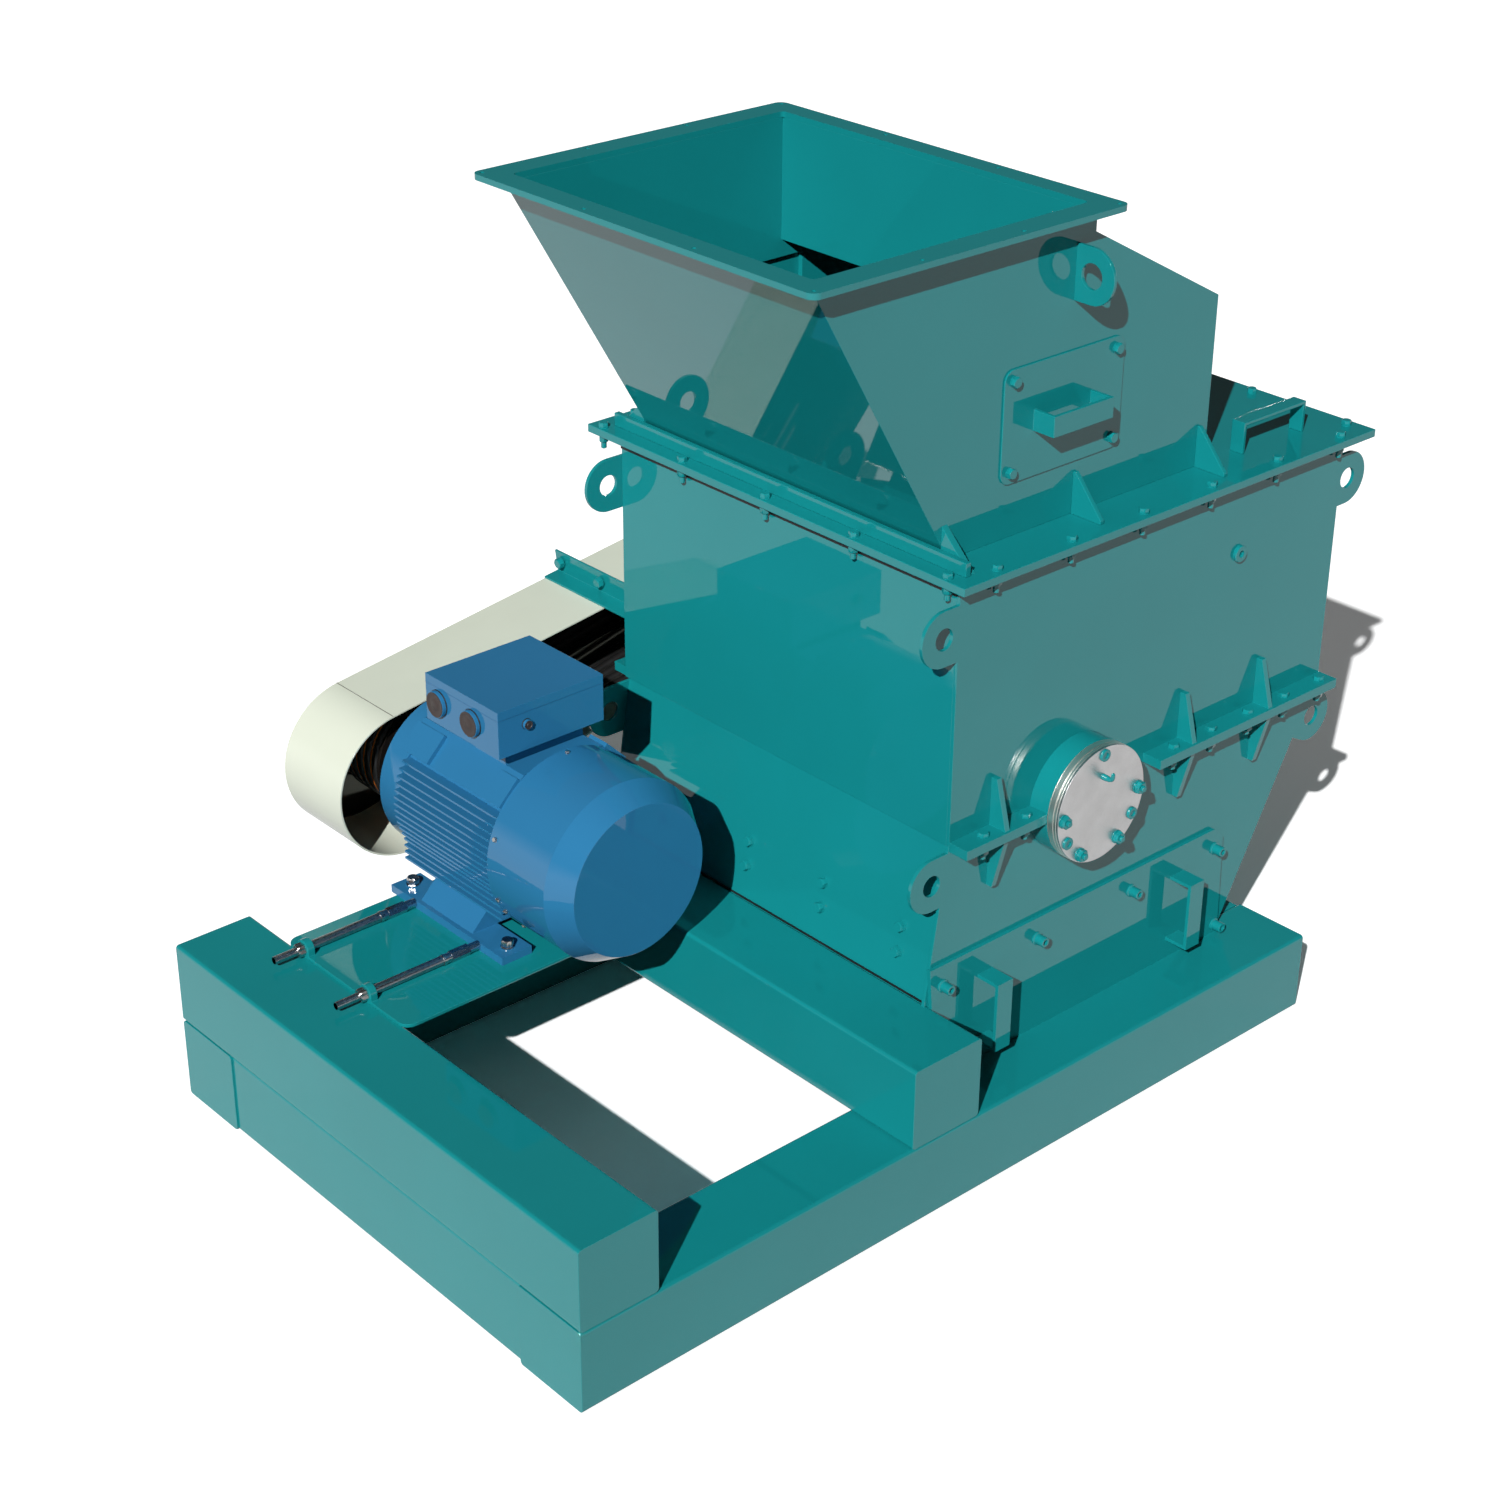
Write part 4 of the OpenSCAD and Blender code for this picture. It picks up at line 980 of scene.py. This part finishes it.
@dataclass
class Bearings:
    """The two flanged bearings of the rotor."""

    # Length of teal from the wall: the housing's painted foot, lengthened as a painted reflection
    # of the drum in the mirror-like wall.
    foot_t: float = 0.073
    cover_bolt: Bolt = Bolt(0.036, 0.016, 0.022, 0.003)
    bolt_circle: float = 0.166
    proud: tuple = (0.0, -60.0, -120.0, 180.0)
    flush: tuple = (90.0, -30.0, -150.0)
    stub_r: float = 0.010
    stub_len: float = 0.009
    low_screw: tuple = ((0, 0), (0.020, 0), (0.020, 0.006), (0.018, 0.008), (0.010, 0.008),
                        (0.009, 0.004), (0, 0.004))
    nipple_up: float = 0.093
    bend_at: float = 0.026
    bend: float = 0.012
    nipple_r: tuple = (0.010, 0.010, 0.008) + (0.0065,) * 7 + (0.0035,)

    def build(self) -> None:
        """Finishes the housings and the cover, and puts the cover's screws and nipple in."""
        for side, out in SIDES:
            node = f"{side}_bearing"
            coat(node, Slot.POLISHED, 0.0012, self._drum_finish(node, out))
        steel = TurnedSteel("cover_steel", (0.62, 0.61, 0.61), 0.34, (500.0, 30.0, 500.0))
        coat("near_bearing_cover", Slot.POLISHED, 0.0012, steel.material())
        self._cover_bolts()
        self._nipple()

    def _drum_finish(self, node: str, out: Array) -> Material:
        """Polished steel on the drum, and teal near the wall: the housing's painted foot,
        lengthened as a painted reflection of the drum in the wall.
        """
        paint = Repaint.of(Slot.TEAL, f"{node}_finish")
        # Teal near the wall is partly the painted foot and partly a painted reflection of the drum.
        foot = paint.s.depth() > Block.of(node).face_y(out, self.foot_t)
        if out[1] > 0:
            foot = 1.0 - foot
        steel = 1.0 - foot
        paint.wire("Base Color", paint.s.blend(foot, (0.80, 0.79, 0.74), paint.colour))
        paint.wire("Metallic", steel)
        paint.wire("Roughness", 0.02 + steel * 0.40)
        return paint.made

    def _ring(self, degrees: tuple, radius: float) -> Array:
        """Places round the shaft on the cover's face."""
        cover = Block.of("near_bearing_cover")
        angle = np.radians(degrees)
        x, z = radius * np.cos(angle), radius * np.sin(angle)
        return points(cover.mid[0] + x, cover.lo[1], cover.mid[2] + z)

    def _cover_bolts(self) -> None:
        """Four hexagon bolts with thread stubs, and three low cap screws."""
        bolts = Piece("cover_bolts", Slot.TEAL)
        proud = self._ring(self.proud, self.bolt_circle)
        self.cover_bolt.set_in(bolts, proud, -Y)
        top = self.cover_bolt.washer_t + self.cover_bolt.head
        bolts.stamp(stub(self.stub_r, self.stub_len), proud - top * Y, -Y)
        bolts.stamp(turned(self.low_screw), self._ring(self.flush, self.bolt_circle), -Y)
        bolts.finish()

    def _nipple(self) -> None:
        """The grease nipple over the shaft: a stem, an elbow of radius bend and a ball end."""
        angle = np.linspace(0.0, math.pi / 2, 7)
        stem = points(0.0, -np.array([0.0, 0.012, self.bend_at]), 0.0)
        elbow = points(0.0, -(self.bend_at + self.bend * np.sin(angle)),
                       self.bend * (1 - np.cos(angle)))[1:]
        end = points(0.0, -(self.bend_at + self.bend), np.array([0.022, 0.026]))
        path = self._ring((90.0,), self.nipple_up) + np.concatenate([stem, elbow, end])
        nipple = Piece("grease_nipple", Slot.TEAL)
        nipple.add(tube(path, np.array(self.nipple_r), X)).finish()


@dataclass
class Hatches:
    """The studs and the sill of the bolted hatch on each side of the lower housing."""

    plate_t: float = 0.014
    stud_r: float = 0.017
    stud_len: float = 0.038
    bore_deep: float = 0.030
    from_front: tuple = (0.056, 0.466, 0.901, 1.308)
    drop: float = 0.072
    low_in: float = 0.005
    low_up: float = 0.020
    sill_end: float = 0.003

    def build(self) -> None:
        """Stands the studs on the hatches and closes the gap under them."""
        studs = Piece("hatch_studs", Slot.TEAL)
        sills = Piece("hatch_sills", Slot.TEAL)
        for side, out in SIDES:
            hatch = Block.of(f"{side}_hatch")
            self._studs(studs, hatch, out)
            self._sill(sills, hatch, out)
        studs.finish()
        sills.finish()

    def _sill(self, sills: Piece, hatch: Block, out: Array) -> None:
        """A painted strip that closes the gap between a hatch and its runner."""
        face = hatch.face_y(out, self.plate_t)
        y = sorted([face, face - out[1] * self.plate_t])
        start = Block.of("middle_beam").hi[0] + self.sill_end
        low = np.array([start, y[0], Block.of("near_runner").hi[2]])
        sills.add(bar(low, np.array([hatch.hi[0] - self.sill_end, y[1], hatch.lo[2]])))

    def _studs(self, studs: Piece, hatch: Block, out: Array) -> None:
        """Bored clamping studs along the hatch's top and one at its lower rear corner."""
        low_x = hatch.hi[0] - self.low_in - self.stud_r
        x = np.append(hatch.lo[0] + np.array(self.from_front), low_x)
        z = np.append(np.full(4, hatch.hi[2] - self.drop), hatch.lo[2] + self.low_up)
        r, end, bore = self.stud_r, self.stud_len, self.stud_r * 0.5
        outline = [(0, 0), (r * 1.25, 0), (r * 1.25, 0.004), (r, 0.006), (r, end - 0.002),
                   (r - 0.002, end), (bore + 0.001, end), (bore, end - 0.001),
                   (bore, end - self.bore_deep), (0, end - self.bore_deep)]
        studs.stamp(turned(outline), points(x, hatch.face_y(out, self.plate_t), z), out)


@dataclass
class Lid:
    """The lid's bolts, and a black strip of painted shade under its front edge."""

    bolt: Bolt = Bolt(0.028, 0.014, 0.0165, nut=0.022, tail=0.022)
    front_inset: float = 0.021
    rear_inset: float = 0.040
    side_inset: float = 0.034
    cross_ends: tuple = (0.085, 0.054)
    cross_count: int = 5
    side_ends: tuple = (0.165, 0.136)
    side_count: int = 6
    gasket_out: float = 0.004
    gasket_h: float = 0.028

    def build(self) -> None:
        """Puts a black strip of painted shade under the lid and bolts the lid down."""
        self._painted_shade_strip()
        self._bolts()

    def _painted_shade_strip(self) -> None:
        """A black strip under the lid along the front wall, which is painted shade."""
        wall = Block.of("upper_front_wall")
        top = Block.of("lid_plate").lo[2]
        low = np.array([wall.lo[0] - self.gasket_out, wall.lo[1], top - self.gasket_h])
        high = np.array([wall.lo[0], wall.hi[1], top])
        # The black rubber strip is painted shade under the lid's front edge.
        Piece("lid_painted_shade_strip", Slot.RUBBER).add(bar(low, high)).finish()

    def _bolts(self) -> None:
        """Bolts round all four edges, with their nuts under the lid."""
        lo, hi = Block.of("lid_plate").lo, Block.of("lid_plate").hi
        (y0, y1), (x0, x1) = self.cross_ends, self.side_ends
        y = np.linspace(lo[1] + y0, hi[1] - y1, self.cross_count)
        x = np.linspace(lo[0] + x0, hi[0] - x1, self.side_count)
        places = np.concatenate([
            points(lo[0] + self.front_inset, y, 0.0), points(hi[0] - self.rear_inset, y, 0.0),
            points(x, lo[1] + self.side_inset, 0.0), points(x, hi[1] - self.side_inset, 0.0)])
        bolts = Piece("lid_bolts", Slot.TEAL)
        self.bolt.set_in(bolts, places + hi[2] * Z, Z)
        self.bolt.nut_under(bolts, places + lo[2] * Z, -Z)
        bolts.finish()


@dataclass
class Hopper:
    """The bolts of the two inspection doors on the feed hopper."""

    door_bolt: Bolt = Bolt(0.030, 0.014, 0.017)
    door_inset: float = 0.036
    door_t: float = 0.006

    def build(self) -> None:
        """Puts a bolt at each corner of both doors."""
        bolts = Piece("door_bolts", Slot.TEAL)
        for side, out in SIDES:
            door = Block.of(f"{side}_door")
            x = np.array([door.lo[0] + self.door_inset, door.hi[0] - self.door_inset])
            z = np.array([door.lo[2] + self.door_inset, door.hi[2] - self.door_inset])
            places = points(np.repeat(x, 2), door.face_y(out, self.door_t), np.tile(z, 2))
            self.door_bolt.set_in(bolts, places, out)
        bolts.finish()


# ---- studio


@dataclass(frozen=True)
class Studio:
    """A pale floor, a sun, a soft light from behind, a faint sky and the camera."""

    floor_half: float = 60.0
    sun_strength: float = 4.3
    sun_angle: float = 0.6
    sun_travel: tuple = (0.699, 0.438, -0.565)
    back_strength: float = 1.0
    back_angle: float = 8.0
    back_travel: tuple = (-0.74, -0.66, -0.08)
    sky_fill: float = 0.02
    sky_low: float = 0.85
    sky_top: float = 0.06
    sky_span: float = 0.24
    floor_tone: float = 0.66
    floor_dull: float = 0.30
    floor_glow: float = 0.11
    glow_reach: float = 2.2
    mirror_loss: float = 0.3
    camera_at: tuple = (-5.23584, -5.72721, 5.10051)
    camera_turn: tuple = (62.7417, -0.1922, -41.3720)
    lens: float = 66.2395
    shift: tuple = (0.010807, -0.021929)

    def build(self) -> None:
        """Makes the floor, the lights and the camera."""
        self._floor()
        self._sun("sun", self.sun_strength, self.sun_angle, self.sun_travel)
        self._sun("back_light", self.back_strength, self.back_angle, self.back_travel)
        self._sky()
        self._camera()

    def _floor(self) -> None:
        """A square on the ground that looks bright but throws little light on the machine."""
        half = self.floor_half
        mesh = bpy.data.meshes.new("floor")
        corners = [(-half, -half, 0), (half, -half, 0), (half, half, 0), (-half, half, 0)]
        mesh.from_pydata(corners, [], [(0, 1, 2, 3)])
        made = bpy.data.objects.new("floor", mesh)
        bpy.context.scene.collection.objects.link(made)
        paint = bpy.data.materials.new("studio_floor")
        s = Shader.blank(paint)
        seen = self._seen(s)
        half_bright = self._matt(s, self.floor_tone)
        bright = s.node("ShaderNodeAddShader", {}, {0: half_bright, 1: half_bright})
        reach = {"Distance": self.glow_reach}
        openness = s.node("ShaderNodeAmbientOcclusion", {}, reach, output="AO")
        glow = s.node("ShaderNodeEmission", {}, {"Strength": openness * openness * self.floor_glow})
        dull = self._matt(s, self.floor_dull)
        lit = s.node("ShaderNodeAddShader", {}, {0: bright, 1: glow})
        dark = s.node("ShaderNodeEmission", {}, {"Strength": 0.0})
        loss = s.ray("Glossy") * self.mirror_loss
        shown = s.node("ShaderNodeMixShader", {}, {0: loss, 1: lit, 2: dark})
        s.surface(s.node("ShaderNodeMixShader", {}, {0: seen, 1: dull, 2: shown}))
        mesh.materials.append(paint)

    def _matt(self, s: Shader, grey: float) -> Wire:
        """A diffuse surface of one grey."""
        return s.node("ShaderNodeBsdfDiffuse", {}, {"Color": (grey, grey, grey, 1)})

    def _seen(self, s: Shader) -> Wire:
        """1 on rays from the camera, a mirror or glass, otherwise 0."""
        return s.ray("Camera").largest(s.ray("Glossy")).largest(s.ray("Transmission"))

    def _sun(self, name: str, strength: float, width: float, travel: tuple) -> None:
        """Adds a far lamp that fills width degrees and whose light travels one way."""
        lamp = bpy.data.lights.new(name, "SUN")
        lamp.energy = strength
        lamp.angle = math.radians(width)
        made = bpy.data.objects.new(name, lamp)
        made.rotation_euler = Vector(travel).to_track_quat("-Z", "Y").to_euler()
        bpy.context.scene.collection.objects.link(made)

    def _sky(self) -> None:
        """A sky that is pale at the horizon and dim overhead, and fills the shadows faintly."""
        world = bpy.data.worlds.new("sky")
        bpy.context.scene.world = world
        s = Shader.blank(world)
        where = s.node("ShaderNodeTexCoord", output="Generated")
        glow = s.span(s.part(where, "Z"), 0.0, self.sky_span, self.sky_low, self.sky_top)
        seen = self._light(s, glow.largest(s.ray("Camera")))
        fill = self._light(s, self.sky_fill)
        s.surface(s.node("ShaderNodeMixShader", {}, {0: self._seen(s), 1: fill, 2: seen}))

    def _light(self, s: Shader, strength: Value) -> Wire:
        """White light from the sky, of a given strength."""
        return s.node("ShaderNodeBackground", {}, {"Color": (1, 1, 1, 1), "Strength": strength})

    def _camera(self) -> None:
        """The camera, looking down at the motor end and the near side."""
        lens = bpy.data.cameras.new("camera")
        lens.lens = self.lens
        lens.shift_x, lens.shift_y = self.shift
        lens.clip_end = 200.0
        made = bpy.data.objects.new("camera", lens)
        made.location = self.camera_at
        made.rotation_euler = [math.radians(a) for a in self.camera_turn]
        bpy.context.scene.collection.objects.link(made)
        bpy.context.scene.camera = made
        bpy.context.scene.view_settings.view_transform = "Standard"


def main() -> None:
    """Builds the machine's finishes and added pieces, one sub-assembly after another."""
    logging.basicConfig(level=logging.INFO, format="%(name)s: %(message)s")
    Studio().build()
    FINISHES.build()
    coat_plain()
    for part in (MotorMount(), Motor(), BeltDrive(), Housing(), Bearings(), Hatches(), Lid(),
                 Hopper()):
        LOG.info("building %s", type(part).__name__)
        part.build()


if __name__ == "__main__":
    main()
